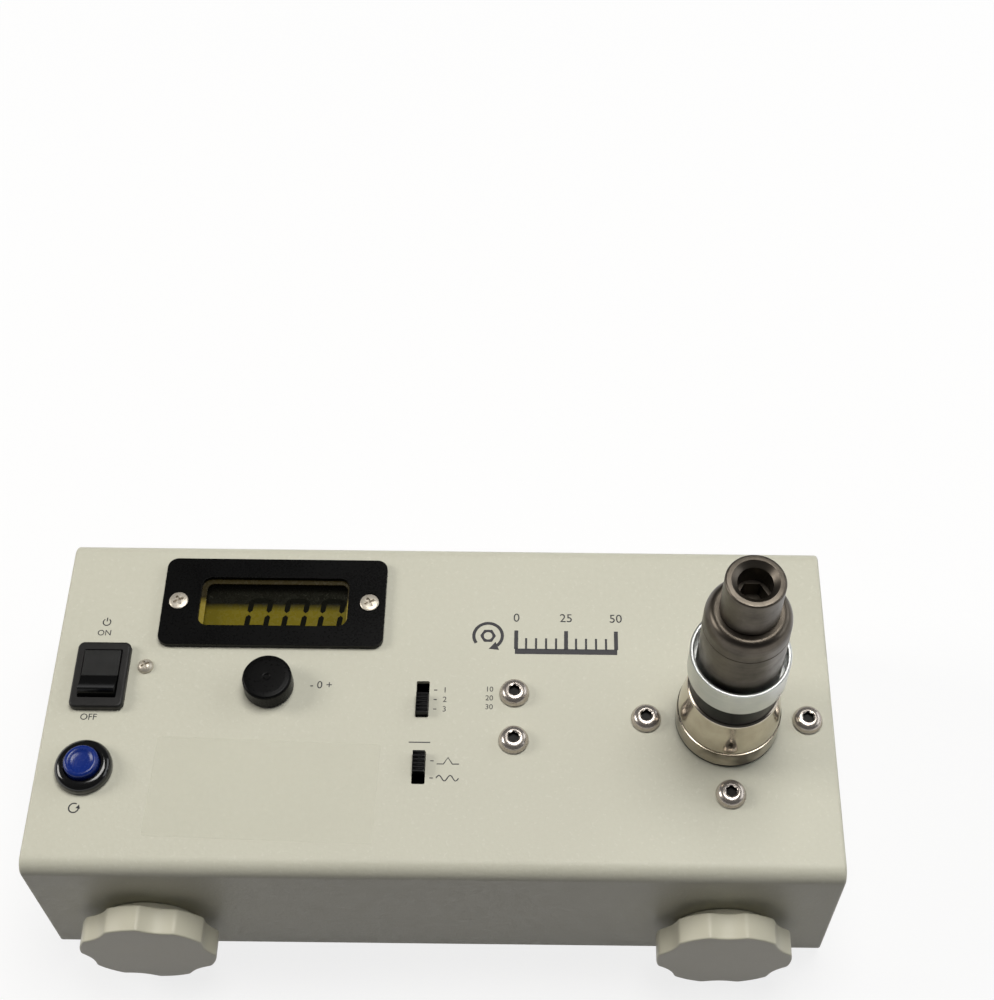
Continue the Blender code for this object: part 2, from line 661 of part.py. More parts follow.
def screw_from_below(length):
    """Return a small pan-head screw that points up, with its seat at zero."""
    radius, head = SMALL_HEAD_RADIUS, SMALL_HEAD_HEIGHT
    profile = [(0, length), (SMALL_SCREW_RADIUS, length), (SMALL_SCREW_RADIUS, 0), (radius, 0),
               (radius, -head * 0.55), (radius * 0.7, -head), (0, -head)]
    return turned(profile, COARSE)


def build_clamps(parent, plastic, steel):
    """Two lobed clamp knobs, each moulded on a stud that runs in a weld nut."""
    boss_back = -GAP
    grip_back = -GAP - KNOB_BOSS_LENGTH
    front = grip_back - KNOB_GRIP
    for side, label in ((-1, "left"), (1, "right")):
        at = (side * KNOB_SPACING / 2, FRONT_Y, BOTTOM + KNOB_HEIGHT)
        shape = bmesh.new()
        outline = lobed_outline(KNOB_RADIUS, KNOB_LOBES, KNOB_NOTCH_ANGLE, KNOB_NOTCH_DEPTH,
                                KNOB_TURNS[label])
        add_prism(shape, outline, grip_back, front, axis="Y")
        rims = [edge for edge in shape.edges
                if all(abs(v.co.y - front) < MERGE for v in edge.verts)
                or all(abs(v.co.y - grip_back) < MERGE for v in edge.verts)]
        bmesh.ops.bevel(shape, geom=rims, offset=KNOB_EDGE_RADIUS, segments=1, profile=0.5,
                        affect="EDGES", material=-1, clamp_overlap=True)
        knob = place(f"clamp_knob_{label}", shape, plastic, parent, at)
        join(knob, prism(circle_outline(KNOB_BOSS_RADIUS, FINE), grip_back - CUT_OVER, boss_back,
                         axis="Y"), "boss")
        seat = grip_back - STUD_SEAT_DEPTH
        cut(knob, prism(circle_outline(STUD_RADIUS + GAP, COARSE), seat, CUT_OVER, axis="Y"),
            "seat")
        stud = prism(circle_outline(STUD_RADIUS, COARSE), seat + GAP, STUD_REACH, axis="Y")
        place(f"clamp_stud_{label}", stud, steel, parent, at)
        low = SHELL_WALL + GAP
        nut = prism(rounded_outline(WELD_NUT_SIZE, WELD_NUT_SIZE, PLATE_CORNER, 2), low,
                    low + WELD_NUT_THICKNESS, axis="Y")
        nut = place(f"clamp_nut_{label}", nut, steel, parent, at)
        cut(nut, prism(circle_outline(STUD_RADIUS + GAP, COARSE), 0, 2 * WELD_NUT_SIZE,
                       axis="Y"), "thread")


def build_display(parent, plastic, clear, lcd_finish, board_finish, steel):
    """Display plate, window, LCD cell, its board and the two screws that carry them."""
    x, y = DISPLAY_CENTRE
    low = PANEL_TOP + GAP
    high = low + DISPLAY_THICKNESS
    plate = place("display_plate", prism(rounded_outline(*DISPLAY_SIZE, DISPLAY_CORNER), low, high,
                                         DISPLAY_CENTRE), plastic, parent)
    holes = bmesh.new()
    add_prism(holes, rounded_outline(*WINDOW_SIZE, WINDOW_CORNER), low - CUT_OVER,
              high + CUT_OVER, (x, y))
    seat = high - DISPLAY_HEAD_HEIGHT
    for spot in display_screw_places():
        hole = SMALL_SCREW_RADIUS + GAP
        wide = DISPLAY_HEAD_RADIUS + GAP
        sink = [(0, high + CUT_OVER), (wide, high + CUT_OVER), (wide, high), (hole, seat),
                (hole, low - CUT_OVER), (0, low - CUT_OVER)]
        add_turned(holes, sink, COARSE, spot)
    cut(plate, holes, "openings")
    window = rounded_outline(WINDOW_SIZE[0] + 2 * WINDOW_LIP, WINDOW_SIZE[1] + 2 * WINDOW_LIP,
                             WINDOW_CORNER)
    place("display_window", prism(window, PANEL_TOP - WINDOW_THICKNESS, PANEL_TOP, (x, y)), clear,
          parent)
    lcd_top = PANEL_TOP - LCD_DEPTH
    lcd_low = lcd_top - LCD_THICKNESS
    place("lcd_cell", prism(rounded_outline(*LCD_SIZE, LCD_CORNER, 1), lcd_low, lcd_top, (x, y)),
          lcd_finish, parent)
    board_top = lcd_low - GAP
    board_low = board_top - BOARD_THICKNESS
    board = place("display_board", prism(rounded_outline(*DISPLAY_BOARD_SIZE, PLATE_CORNER, 2), board_low,
                                         board_top, (x, y)), board_finish, parent)
    holes = bmesh.new()
    for spot in display_screw_places():
        add_prism(holes, circle_outline(SMALL_SCREW_RADIUS + GAP, COARSE), board_low - CUT_OVER,
                  board_top + CUT_OVER, spot)
    cut(board, holes, "holes")
    length = high - board_low + BOARD_THICKNESS
    radius, taper = DISPLAY_HEAD_RADIUS, DISPLAY_HEAD_HEIGHT
    profile = [(0, DISPLAY_HEAD_CROWN), (radius * 0.6, DISPLAY_HEAD_CROWN * 0.7), (radius, 0),
               (SMALL_SCREW_RADIUS, -taper), (SMALL_SCREW_RADIUS, -length), (0, -length)]
    for spot, label in zip(display_screw_places(), ("left", "right")):
        place(f"display_screw_{label}", turned(profile, ROUND), steel, parent, (*spot, high))


def build_power_switch(parent, body_finish, rocker_finish):
    """Snap-in rocker switch: hollow body with terminals, and the rocker on its pivot."""
    top = PANEL_TOP + GAP + SWITCH_BEZEL_HEIGHT
    pivot = top - ROCKER_PIVOT_DEPTH
    seat = PANEL_TOP + GAP
    shape = prism(rounded_outline(*SWITCH_BEZEL, SWITCH_CORNER), seat, top)
    rims = [edge for edge in shape.edges if all(v.co.z > top - MERGE for v in edge.verts)]
    bmesh.ops.bevel(shape, geom=rims, offset=SWITCH_BEZEL_EDGE, segments=2, profile=0.5,
                    affect="EDGES", material=-1, clamp_overlap=True)
    body = place("power_switch_body", shape, body_finish, parent, (*SWITCH_CENTRE, 0))
    join(body, prism(rounded_outline(*SWITCH_BODY, PLATE_CORNER, 2), PANEL_TOP - SWITCH_DEPTH,
                     seat + WELD_LAP), "block")
    legs = bmesh.new()
    width, depth, length = SWITCH_TERMINAL
    low = PANEL_TOP - SWITCH_DEPTH
    for step in (-1, 0, 1):
        y = step * SWITCH_TERMINAL_SPACING
        add_box(legs, (-depth / 2, y - width / 2, low - length),
                (depth / 2, y + width / 2, low + CUT_OVER))
    join(body, legs, "terminals")
    reach = ROCKER_REACH + GAP
    hollow = rounded_outline(ROCKER_WIDTH + 2 * GAP, 2 * reach, SMALL_EDGE, 1)
    cut(body, prism(hollow, pivot - ROCKER_BOTTOM_DEPTH - CUT_OVER, top + CUT_OVER), "well")
    side = math.sqrt(ROCKER_REACH ** 2 - ROCKER_END_HEIGHT ** 2)
    rise = math.degrees(math.asin(ROCKER_END_HEIGHT / ROCKER_REACH))
    drop = 24
    outline = [(-side, ROCKER_END_HEIGHT), (0, ROCKER_CREASE_HEIGHT)]
    outline += arc((0, 0), ROCKER_REACH, rise, -drop, 6)
    outline += [(ROCKER_BOTTOM_HALF, -ROCKER_BOTTOM_DEPTH),
                (-ROCKER_BOTTOM_HALF, -ROCKER_BOTTOM_DEPTH)]
    outline += arc((0, 0), ROCKER_REACH, 180 + drop, 180 - rise, 6)[:-1]
    shape = prism(outline, -ROCKER_WIDTH / 2, ROCKER_WIDTH / 2, axis="X")
    bmesh.ops.rotate(shape, verts=shape.verts, cent=(0, 0, 0),
                     matrix=Matrix.Rotation(-ROCKER_TILT, 3, "X"))
    place("power_rocker", shape, rocker_finish, parent, (*SWITCH_CENTRE, pivot))


def build_reset_button(parent, bezel_finish, cap_finish, steel):
    """Round push button: domed bezel with its barrel, the fixing nut and the blue cap."""
    at = (*RESET_CENTRE, PANEL_TOP)
    height, wide, barrel = RESET_BEZEL_HEIGHT + GAP, RESET_BEZEL_RADIUS, RESET_BARREL_RADIUS
    bore = RESET_CAP_RADIUS + GAP
    floor = -RESET_BARREL_DEPTH + RESET_FLOOR
    profile = [(0, floor), (bore, floor), (bore, height - RESET_MOUTH),
               (bore + RESET_MOUTH, height)]
    profile += [(wide - RESET_DOME_WIDTH * (1 - math.sin(a)),
                 height - RESET_DOME_DROP * (1 - math.cos(a)))
                for a in (math.radians(30 * i) for i in range(1, 4))]
    profile += [(wide, GAP), (barrel, GAP), (barrel, -RESET_BARREL_DEPTH),
                (0, -RESET_BARREL_DEPTH)]
    place("reset_bezel", turned(profile, FINE), bezel_finish, parent, at)
    cap, top = RESET_CAP_RADIUS, RESET_CAP_TOP
    profile = [(0, top - RESET_CAP_DISH), (cap * 0.55, top - RESET_CAP_DISH * 0.7),
               (cap * 0.85, top), (cap, top - RESET_CAP_EDGE), (cap, top - RESET_CAP_LENGTH),
               (0, top - RESET_CAP_LENGTH)]
    place("reset_cap", turned(profile, ROUND), cap_finish, parent, at)
    low = -SHELL_WALL - GAP
    nut = place("reset_nut", prism(polygon_outline(2 * RESET_NUT_RADIUS * math.cos(math.pi / 6)),
                                   low - RESET_NUT_THICKNESS, low), steel, parent, at)
    cut(nut, prism(circle_outline(barrel + GAP, ROUND), low - 2 * RESET_NUT_THICKNESS, low + CUT_OVER),
        "thread")


def build_zero_control(parent, knob_finish, body_finish, steel):
    """Zero knob on its potentiometer, which hangs from the panel on a bushing and a nut."""
    at = (*ZERO_CENTRE, PANEL_TOP)
    wide, foot = ZERO_KNOB_RADIUS, ZERO_KNOB_FOOT
    top = foot + ZERO_KNOB_HEIGHT
    ceiling = foot + ZERO_KNOB_SKIRT
    bore = POT_SHAFT_RADIUS + GAP
    profile = [(0, top - GAP), (ZERO_DOT_RADIUS, top - GAP),
               (ZERO_DOT_RADIUS + ZERO_DOT_SLOPE, top), (wide - ZERO_KNOB_EDGE, top),
               (wide, top - ZERO_KNOB_EDGE), (wide, foot),
               (wide - ZERO_KNOB_WALL, foot), (wide - ZERO_KNOB_WALL, ceiling), (bore, ceiling),
               (bore, POT_SHAFT_TOP + GAP), (0, POT_SHAFT_TOP + GAP)]
    place("zero_knob", turned(profile, FINE), knob_finish, parent, at)
    shelf = -SHELL_WALL - GAP
    low = shelf - POT_HEIGHT
    profile = [(0, low + POT_FLOOR), (bore, low + POT_FLOOR), (bore, POT_BUSHING_RISE),
               (POT_BUSHING_RADIUS, POT_BUSHING_RISE), (POT_BUSHING_RADIUS, shelf),
               (POT_RADIUS, shelf), (POT_RADIUS, low), (0, low)]
    body = place("zero_pot_body", turned(profile, ROUND), body_finish, parent, at)
    legs = bmesh.new()
    for step in (-1, 0, 1):
        x = step * POT_LEG_PITCH
        add_box(legs, (x - POT_LEG_WIDTH / 2, -POT_RADIUS - POT_LEG_LENGTH, low + POT_LEG_HEIGHT),
                (x + POT_LEG_WIDTH / 2, -POT_RADIUS * 0.7,
                 low + POT_LEG_HEIGHT + POT_LEG_THICKNESS))
    join(body, legs, "terminals")
    shaft = [(0, POT_SHAFT_TOP), (POT_SHAFT_RADIUS, POT_SHAFT_TOP),
             (POT_SHAFT_RADIUS, low + POT_FLOOR + GAP), (0, low + POT_FLOOR + GAP)]
    place("zero_pot_shaft", turned(shaft, COARSE), steel, parent, at)
    nut = place("zero_pot_nut", prism(polygon_outline(POT_NUT_ACROSS_FLATS), GAP,
                                      GAP + POT_NUT_THICKNESS), steel, parent, at)
    cut(nut, prism(circle_outline(POT_BUSHING_RADIUS + GAP, ROUND), 0,
                   2 * POT_NUT_THICKNESS), "thread")


def ribbed_outline(length, low, top, ribs):
    """Return a lever's side outline with finger ribs along its top."""
    points = [(-length / 2, low), (length / 2, low)]
    pitch = length / (ribs * 2 - 1)
    for rib in range(ribs):
        right = length / 2 - 2 * rib * pitch
        points += [(right, top), (right - pitch, top)]
        if rib < ribs - 1:
            points += [(right - pitch * 1.2, top - LEVER_RIB_DEPTH),
                       (right - pitch * 1.8, top - LEVER_RIB_DEPTH)]
    return points


def build_selector(name, centre, slot, travel, rest, parent, body_finish, lever_finish):
    """Slide selector: open body under the panel and the ribbed lever in its slot."""
    top = PANEL_UNDER - GAP
    low = top - SLIDE_BODY_HEIGHT
    width, length = SLIDE_BODY_WIDTH, slot[1] + 2 * SLIDE_BODY_MARGIN
    shape = bmesh.new()
    add_box(shape, (-width / 2, -length / 2, low), (width / 2, length / 2, top))
    body = place(f"{name}_switch_body", shape, body_finish, parent, (*centre, 0), smooth=False)
    foot_width = LEVER_WIDTH + 2 * LEVER_FOOT_MARGIN
    channel = (foot_width + 2 * GAP, LEVER_LENGTH + travel + 4 * GAP)
    cut(body, prism(rounded_outline(*channel, SLIDE_CORNER, 1), low + SLIDE_FLOOR,
                    top + CUT_OVER), "channel")
    foot_low = low + SLIDE_FLOOR + GAP
    shape = prism(ribbed_outline(LEVER_LENGTH, foot_low, PANEL_TOP + LEVER_RISE, LEVER_RIBS),
                  -LEVER_WIDTH / 2, LEVER_WIDTH / 2, axis="X")
    at = (centre[0], centre[1] + rest * travel / 2, 0)
    lever = place(f"{name}_lever", shape, lever_finish, parent, at, smooth=False)
    foot = bmesh.new()
    add_box(foot, (-foot_width / 2, -LEVER_LENGTH / 2, foot_low),
            (foot_width / 2, LEVER_LENGTH / 2, foot_low + LEVER_FOOT))
    join(lever, foot, "foot")


def build_bracket(parent, zinc):
    """Folded bracket that carries both selectors and hangs on two screws."""
    flange_top = PANEL_UNDER - GAP
    shelf = flange_top - SLIDE_BODY_HEIGHT - GAP
    right = BRACKET_SCREW_X + BRACKET_FLANGE / 2
    web = BRACKET_SCREW_X - BRACKET_FLANGE / 2
    path = [(right, flange_top), (web, flange_top), (web, shelf), (BRACKET_SHELF_START, shelf)]
    bracket = place("selector_bracket", prism(strip_outline(path, BRACKET_THICKNESS), *BRACKET_Y,
                                              axis="Y"), zinc, parent, smooth=False)
    holes = bmesh.new()
    for spot in bracket_screw_places():
        add_prism(holes, circle_outline(M4_RADIUS + GAP, COARSE),
                  flange_top - 2 * BRACKET_THICKNESS, flange_top + CUT_OVER, spot)
    cut(bracket, holes, "holes")


def button_head_screw(length):
    """Return a button-head screw whose seat is at zero and whose shank points down."""
    wide, high = M4_HEAD_RADIUS, M4_HEAD_HEIGHT
    flat = M4_SOCKET_ACROSS_FLATS * 0.62
    dome = [(flat + (wide - flat) * math.sin(a), high * math.cos(a) ** 0.8)
            for a in (math.radians(36 * i) for i in range(3))]
    return turned([(0, high)] + dome + [(wide, 0), (M4_RADIUS, 0), (M4_RADIUS, -length),
                                        (0, -length)], ROUND)


def build_button_screws(parent, steel):
    """The six button-head screws on the panel, each with its hexagon socket."""
    groups = (("cell_screw", cell_screw_places()), ("bracket_screw", bracket_screw_places()))
    for label, spots in groups:
        for number, spot in enumerate(spots, 1):
            screw = place(f"{label}_{number}", button_head_screw(M4_LENGTH), steel, parent,
                          (*spot, PANEL_TOP + GAP))
            cut(screw, prism(polygon_outline(M4_SOCKET_ACROSS_FLATS),
                             M4_HEAD_HEIGHT - M4_SOCKET_DEPTH, M4_HEAD_HEIGHT + CUT_OVER), "socket")


def build_panel_screw(parent, steel):
    """Small pan-head screw beside the rocker, with the nut that holds it."""
    at = (*PANEL_SCREW_CENTRE, PANEL_TOP + GAP)
    wide, high, shank = PANEL_SCREW_HEAD_RADIUS, PANEL_SCREW_HEAD_HEIGHT, PANEL_SCREW_RADIUS
    profile = [(0, high), (wide * 0.6, high * 0.9), (wide * 0.92, high * 0.5), (wide, 0),
               (shank, 0), (shank, -PANEL_SCREW_LENGTH), (0, -PANEL_SCREW_LENGTH)]
    place("panel_screw", turned(profile, ROUND), steel, parent, at)
    high = -SHELL_WALL - 2 * GAP
    nut = place("panel_screw_nut", prism(polygon_outline(PANEL_NUT_ACROSS_FLATS),
                                         high - PANEL_NUT_THICKNESS, high), steel, parent, at)
    cut(nut, prism(circle_outline(shank + GAP, COARSE), -PANEL_SCREW_LENGTH, 0), "thread")


def build_torque_cell(parent, steel):
    """Torque cell: square flange under the panel, strain tube, floor and the inner post."""
    at = (*HUB_CENTRE, 0)
    top = PANEL_UNDER - GAP
    flange_low = top - CELL_FLANGE_THICKNESS
    floor_low = PANEL_TOP - CELL_DEPTH
    floor = floor_low + CELL_FLOOR
    post_top = PANEL_TOP - HUB_SHANK_DEPTH - GAP
    bore = HUB_SHANK_RADIUS + GAP
    inner = bore + CELL_RELIEF
    flange = rounded_outline(CELL_FLANGE_SIZE, CELL_FLANGE_SIZE, CELL_FLANGE_CORNER)
    cell = place("torque_cell", prism(flange, flange_low, top), steel, parent, at)
    join(cell, prism(circle_outline(CELL_TUBE_RADIUS, ROUND), floor_low, flange_low + CUT_OVER), "tube")
    hollow = [(0, post_top), (CELL_POST_RADIUS, post_top), (CELL_POST_RADIUS, floor),
              (inner, floor), (inner, flange_low), (bore, flange_low), (bore, top + CUT_OVER),
              (0, top + CUT_OVER)]
    cut(cell, turned(hollow, FINE), "hollow")
    holes = bmesh.new()
    for spot in on_circle(CELL_SCREW_RADIUS, 4):
        add_prism(holes, circle_outline(M4_RADIUS + GAP, COARSE), flange_low - CUT_OVER,
                  top + CUT_OVER, spot)
    cut(cell, holes, "holes")


def build_hub(parent, chrome, satin):
    """Turned hub with its bell, neck and hexagon pocket, and the collar that crowns it."""
    at = (*HUB_CENTRE, PANEL_TOP)
    shank, ring, bell = HUB_SHANK_RADIUS, HUB_RING_RADIUS, HUB_BELL_RADIUS
    lip = HUB_NECK_RADIUS + HUB_NECK_LIP
    rise = HUB_BELL_HEIGHT - HUB_RING_HEIGHT
    profile = [(0, -HUB_SHANK_DEPTH), (shank, -HUB_SHANK_DEPTH), (shank, GAP),
               (ring - HUB_RING_EDGE, GAP), (ring, GAP + HUB_RING_EDGE),
               (ring, HUB_RING_HEIGHT - HUB_RING_EDGE), (ring - HUB_RING_EDGE, HUB_RING_HEIGHT)]
    for step in range(5):
        share = step / 4
        radius = lip + (bell - lip) * (0.5 + 0.5 * math.cos(math.pi * share))
        profile.append((radius - (GAP if step == 0 else 0), HUB_RING_HEIGHT + rise * share))
    profile += [(HUB_NECK_RADIUS - GAP, HUB_BELL_HEIGHT + GAP), (HUB_NECK_RADIUS - GAP,
                                                               HUB_NECK_HEIGHT),
                (HUB_BORE_RADIUS, HUB_NECK_HEIGHT), (HUB_BORE_RADIUS, HUB_POCKET_TOP),
                (0, HUB_POCKET_TOP)]
    hub = place("hub", turned(profile, FINE), chrome, parent, at)
    cut(hub, prism(polygon_outline(HUB_POCKET_ACROSS_FLATS), HUB_POCKET_FLOOR,
                   HUB_POCKET_TOP + CUT_OVER), "pocket")
    low = HUB_NECK_HEIGHT + GAP
    high = low + COLLAR_HEIGHT
    wide, bore, edge = COLLAR_RADIUS, COLLAR_BORE_RADIUS, COLLAR_EDGE
    profile = [(HUB_BORE_RADIUS, low), (wide - edge, low), (wide, low + edge),
               (wide, high - edge), (wide - edge, high), (bore + edge / 2, high),
               (bore, high - edge), (bore, low + COLLAR_FLOOR), (HUB_BORE_RADIUS,
                                                                 low + COLLAR_FLOOR)]
    place("hub_collar", turned(profile, FINE, closed=True), satin, parent, at)


def build_adapter(parent, oxide, spindle_finish):
    """Joint adapter: hexagon foot in the hub, stepped body and the spindle that turns in it."""
    at = (*HUB_CENTRE, PANEL_TOP)
    seat = HUB_NECK_HEIGHT + GAP + COLLAR_FLOOR + GAP
    foot = HUB_POCKET_FLOOR + GAP
    hex_top = HUB_POCKET_TOP + GAP
    wide, neck = ADAPTER_RADIUS, ADAPTER_TOP_RADIUS
    bore = SPINDLE_STEM_RADIUS + GAP
    core = ADAPTER_CORE_RADIUS
    profile = [(0, foot + WELD_LAP), (core, foot + WELD_LAP), (core, hex_top),
               (ADAPTER_SPIGOT_RADIUS, hex_top),
               (ADAPTER_SPIGOT_RADIUS, seat), (wide - SMALL_EDGE, seat), (wide, seat + SMALL_EDGE),
               (wide, ADAPTER_SHOULDER)]
    for step in range(1, 5):
        share = step / 4
        profile.append((neck + (wide - neck) * math.cos(share * math.pi / 2) ** 0.9,
                        ADAPTER_SHOULDER + (ADAPTER_TOP - ADAPTER_SHOULDER) * math.sin(
                            share * math.pi / 2)))
    profile += [(bore, ADAPTER_TOP), (bore, ADAPTER_TOP - ADAPTER_BORE_DEPTH),
                (0, ADAPTER_TOP - ADAPTER_BORE_DEPTH)]
    body = place("adapter_body", turned(profile, FINE), oxide, parent, at)
    join(body, prism(polygon_outline(HUB_POCKET_ACROSS_FLATS - 2 * GAP), foot, hex_top), "hexagon")
    base = ADAPTER_TOP + GAP
    top = base + SPINDLE_HEIGHT
    wide, stem, mouth = SPINDLE_RADIUS, SPINDLE_STEM_RADIUS, RECESS_MOUTH_RADIUS
    profile = [(0, base - SPINDLE_STEM_LENGTH), (stem, base - SPINDLE_STEM_LENGTH), (stem, base),
               (wide, base), (wide, top - SPINDLE_EDGE), (wide - SPINDLE_EDGE, top),
               (mouth, top), (RECESS_RADIUS, top - RECESS_MOUTH_DEPTH),
               (RECESS_RADIUS, top - RECESS_DEPTH), (0, top - RECESS_DEPTH)]
    spindle = place("adapter_spindle", turned(profile, FINE), spindle_finish, parent, at)
    cut(spindle, prism(polygon_outline(RECESS_HEX_ACROSS_FLATS),
                       top - RECESS_DEPTH - RECESS_HEX_DEPTH, top - RECESS_DEPTH + CUT_OVER), "drive")


def add_supports(base):
    """Join the pressed-in board supports to the base plate."""
    shape = bmesh.new()
    low, top = BASE_TOP - WELD_LAP, BASE_TOP + SUPPORT_HEIGHT
    pin, post = SUPPORT_PIN_RADIUS, SUPPORT_RADIUS
    for spot in support_places():
        profile = [(0, low), (post, low), (post, top), (pin, top), (pin, top + SUPPORT_PIN_RISE),
                   (0, top + SUPPORT_PIN_RISE)]
        add_turned(shape, profile, COARSE, spot)
    join(base, shape, "supports")


def add_strap(base):
    """Join the welded battery strap to the base plate."""
    half = BATTERY_COLUMNS * CELL_CAN_RADIUS + GAP
    top = BASE_TOP + 2 * BATTERY_LAYERS * CELL_CAN_RADIUS + 2 * GAP
    low = BASE_TOP - WELD_LAP
    path = [(-half - STRAP_FOOT, low), (-half, low), (-half, top), (half, top), (half, low),
            (half + STRAP_FOOT, low)]
    path = [(u + BATTERY_CENTRE[1], v) for u, v in path]
    shape = prism(strip_outline(path, STRAP_THICKNESS), BATTERY_CENTRE[0] - STRAP_WIDTH / 2,
                  BATTERY_CENTRE[0] + STRAP_WIDTH / 2, axis="X")
    join(base, shape, "strap")


def build_electronics(parent, board_finish, sleeve):
    """Main board with its larger components, and the battery pack under its strap."""
    low = BASE_TOP + SUPPORT_HEIGHT + GAP
    top = low + BOARD_THICKNESS
    x, y = MAIN_BOARD_CENTRE
    outline = rounded_outline(*MAIN_BOARD_SIZE, PLATE_CORNER, 2)
    board = place("main_board", prism(outline, low, top, (x, y)), board_finish, parent,
                  smooth=False)
    parts = bmesh.new()
    sink = top - WELD_LAP
    across, along = MAIN_BOARD_SIZE
    for dx, dy, width, depth, height in MAIN_BOARD_PARTS:
        add_box(parts, (x + (dx - width / 2) * across, y + (dy - depth / 2) * along, sink),
                (x + (dx + width / 2) * across, y + (dy + depth / 2) * along, top + height))
    for dx, dy in CAPACITOR_PLACES:
        add_prism(parts, circle_outline(CAPACITOR_RADIUS, COARSE), sink, top + CAPACITOR_HEIGHT,
                  (x + dx * across, y + dy * along))
    join(board, parts, "components")
    holes = bmesh.new()
    for spot in support_places():
        add_prism(holes, circle_outline(SUPPORT_PIN_RADIUS + GAP, COARSE), low - CUT_OVER,
                  top + CUT_OVER, spot)
    cut(board, holes, "holes")
    height = 2 * BATTERY_LAYERS * CELL_CAN_RADIUS
    outline = rounded_outline(2 * BATTERY_COLUMNS * CELL_CAN_RADIUS, height, CELL_CAN_RADIUS, 6)
    middle = (BATTERY_CENTRE[1], BASE_TOP + GAP + height / 2)
    pack = prism(outline, BATTERY_CENTRE[0] - CELL_CAN_LENGTH / 2,
                 BATTERY_CENTRE[0] + CELL_CAN_LENGTH / 2, middle, axis="X")
    place("battery_pack", pack, sleeve, parent)


def build_charging_jack(parent, plastic, steel):
    """Charging socket in the back wall, with its contact pin and its nut."""
    at = (JACK_CENTRE_X, BACK_Y, BOTTOM + JACK_HEIGHT)
    face = GAP + JACK_FLANGE_THICKNESS
    floor = face - JACK_BORE_DEPTH
    profile = [(0, face - JACK_PIN_BACK), (JACK_PIN_RADIUS, face - JACK_PIN_BACK),
               (JACK_PIN_RADIUS, floor), (JACK_BORE_RADIUS, floor), (JACK_BORE_RADIUS, face),
               (JACK_FLANGE_RADIUS, face), (JACK_FLANGE_RADIUS, GAP), (JACK_BARREL_RADIUS, GAP),
               (JACK_BARREL_RADIUS, -JACK_BARREL_LENGTH), (0, -JACK_BARREL_LENGTH)]
    shape = turned(profile, ROUND)
    turn_to(shape, "back")
    place("charging_jack", shape, plastic, parent, at)
    high = -SHELL_WALL - GAP
    shape = prism(polygon_outline(JACK_NUT_ACROSS_FLATS), high - JACK_NUT_THICKNESS, high)
    turn_to(shape, "back")
    nut = place("charging_jack_nut", shape, steel, parent, at)
    thread = prism(circle_outline(JACK_BARREL_RADIUS + GAP, ROUND), -JACK_BARREL_LENGTH, 0)
    turn_to(thread, "back")
    cut(nut, thread, "thread")


def main():
    """Build the whole meter in its own frame, with the origin under the middle of its box."""
    clear_scene()
    frame = bpy.data.objects.new("meter_frame", None)
    frame.location = (0, HOUSING_Y, 0)
    bpy.context.collection.objects.link(frame)
    paint = make_material("housing_paint", (0.60, 0.59, 0.50), 0.55)
    knob_plastic = make_material("knob_plastic", (0.62, 0.60, 0.51), 0.5)
    black = make_material("black_plastic", (0.02, 0.02, 0.02), 0.45)
    gloss_black = make_material("gloss_black", (0.012, 0.012, 0.014), 0.18)
    blue = make_material("blue_plastic", (0.01, 0.05, 0.30), 0.25)
    rubber = make_material("foot_rubber", (0.03, 0.03, 0.03), 0.85)
    steel = make_material("screw_steel", (0.62, 0.60, 0.58), 0.2, 1.0)
    zinc = make_material("zinc_plate", (0.55, 0.56, 0.56), 0.4, 1.0)
    chrome = make_material("hub_chrome", (0.75, 0.71, 0.63), 0.1, 1.0)
    satin = make_material("collar_satin", (0.68, 0.70, 0.70), 0.3, 1.0)
    oxide = make_material("adapter_oxide", (0.10, 0.09, 0.08), 0.4, 0.8)
    acrylic = make_material("window_acrylic", (0.8, 0.8, 0.7), 0.05, 0.0, 0.25)
    lcd = make_material("lcd_glass", (0.30, 0.28, 0.05), 0.2)
    board = make_material("board_laminate", (0.03, 0.14, 0.06), 0.5)
    sleeve = make_material("battery_sleeve", (0.05, 0.12, 0.35), 0.4)
    build_housing_shell(frame, paint)
    base = build_base(frame, zinc, rubber, steel)
    add_supports(base)
    add_strap(base)
    build_clamps(frame, knob_plastic, steel)
    build_display(frame, black, acrylic, lcd, board, steel)
    build_power_switch(frame, black, gloss_black)
    build_reset_button(frame, gloss_black, blue, zinc)
    build_zero_control(frame, black, zinc, steel)
    build_selector("unit", UNIT_CENTRE, UNIT_SLOT, UNIT_TRAVEL, -1, frame, zinc, black)
    build_selector("mode", MODE_CENTRE, MODE_SLOT, MODE_TRAVEL, 1, frame, zinc, black)
    build_bracket(frame, zinc)
    build_button_screws(frame, steel)
    build_panel_screw(frame, steel)
    build_torque_cell(frame, zinc)
    build_hub(frame, chrome, satin)
    build_adapter(frame, oxide, oxide)
    build_electronics(frame, board, sleeve)
    build_charging_jack(frame, black, zinc)


main()
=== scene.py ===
"""Looks of the digital torque meter: its finishes, fine meshes, printed legends and studio.

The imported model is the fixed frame. Each sub-assembly below builds detailed pieces where the
frame's solids are, and every solid that stays in view or hidden gets a finish of its own.
Lengths are in metres. X runs along the case, Y to the back and Z up out of the panel.
"""

import json
import logging
import math
from collections.abc import Callable, Iterable, Sequence
from dataclasses import dataclass
from enum import Enum

import bmesh
import bpy
from mathutils import Matrix, Vector

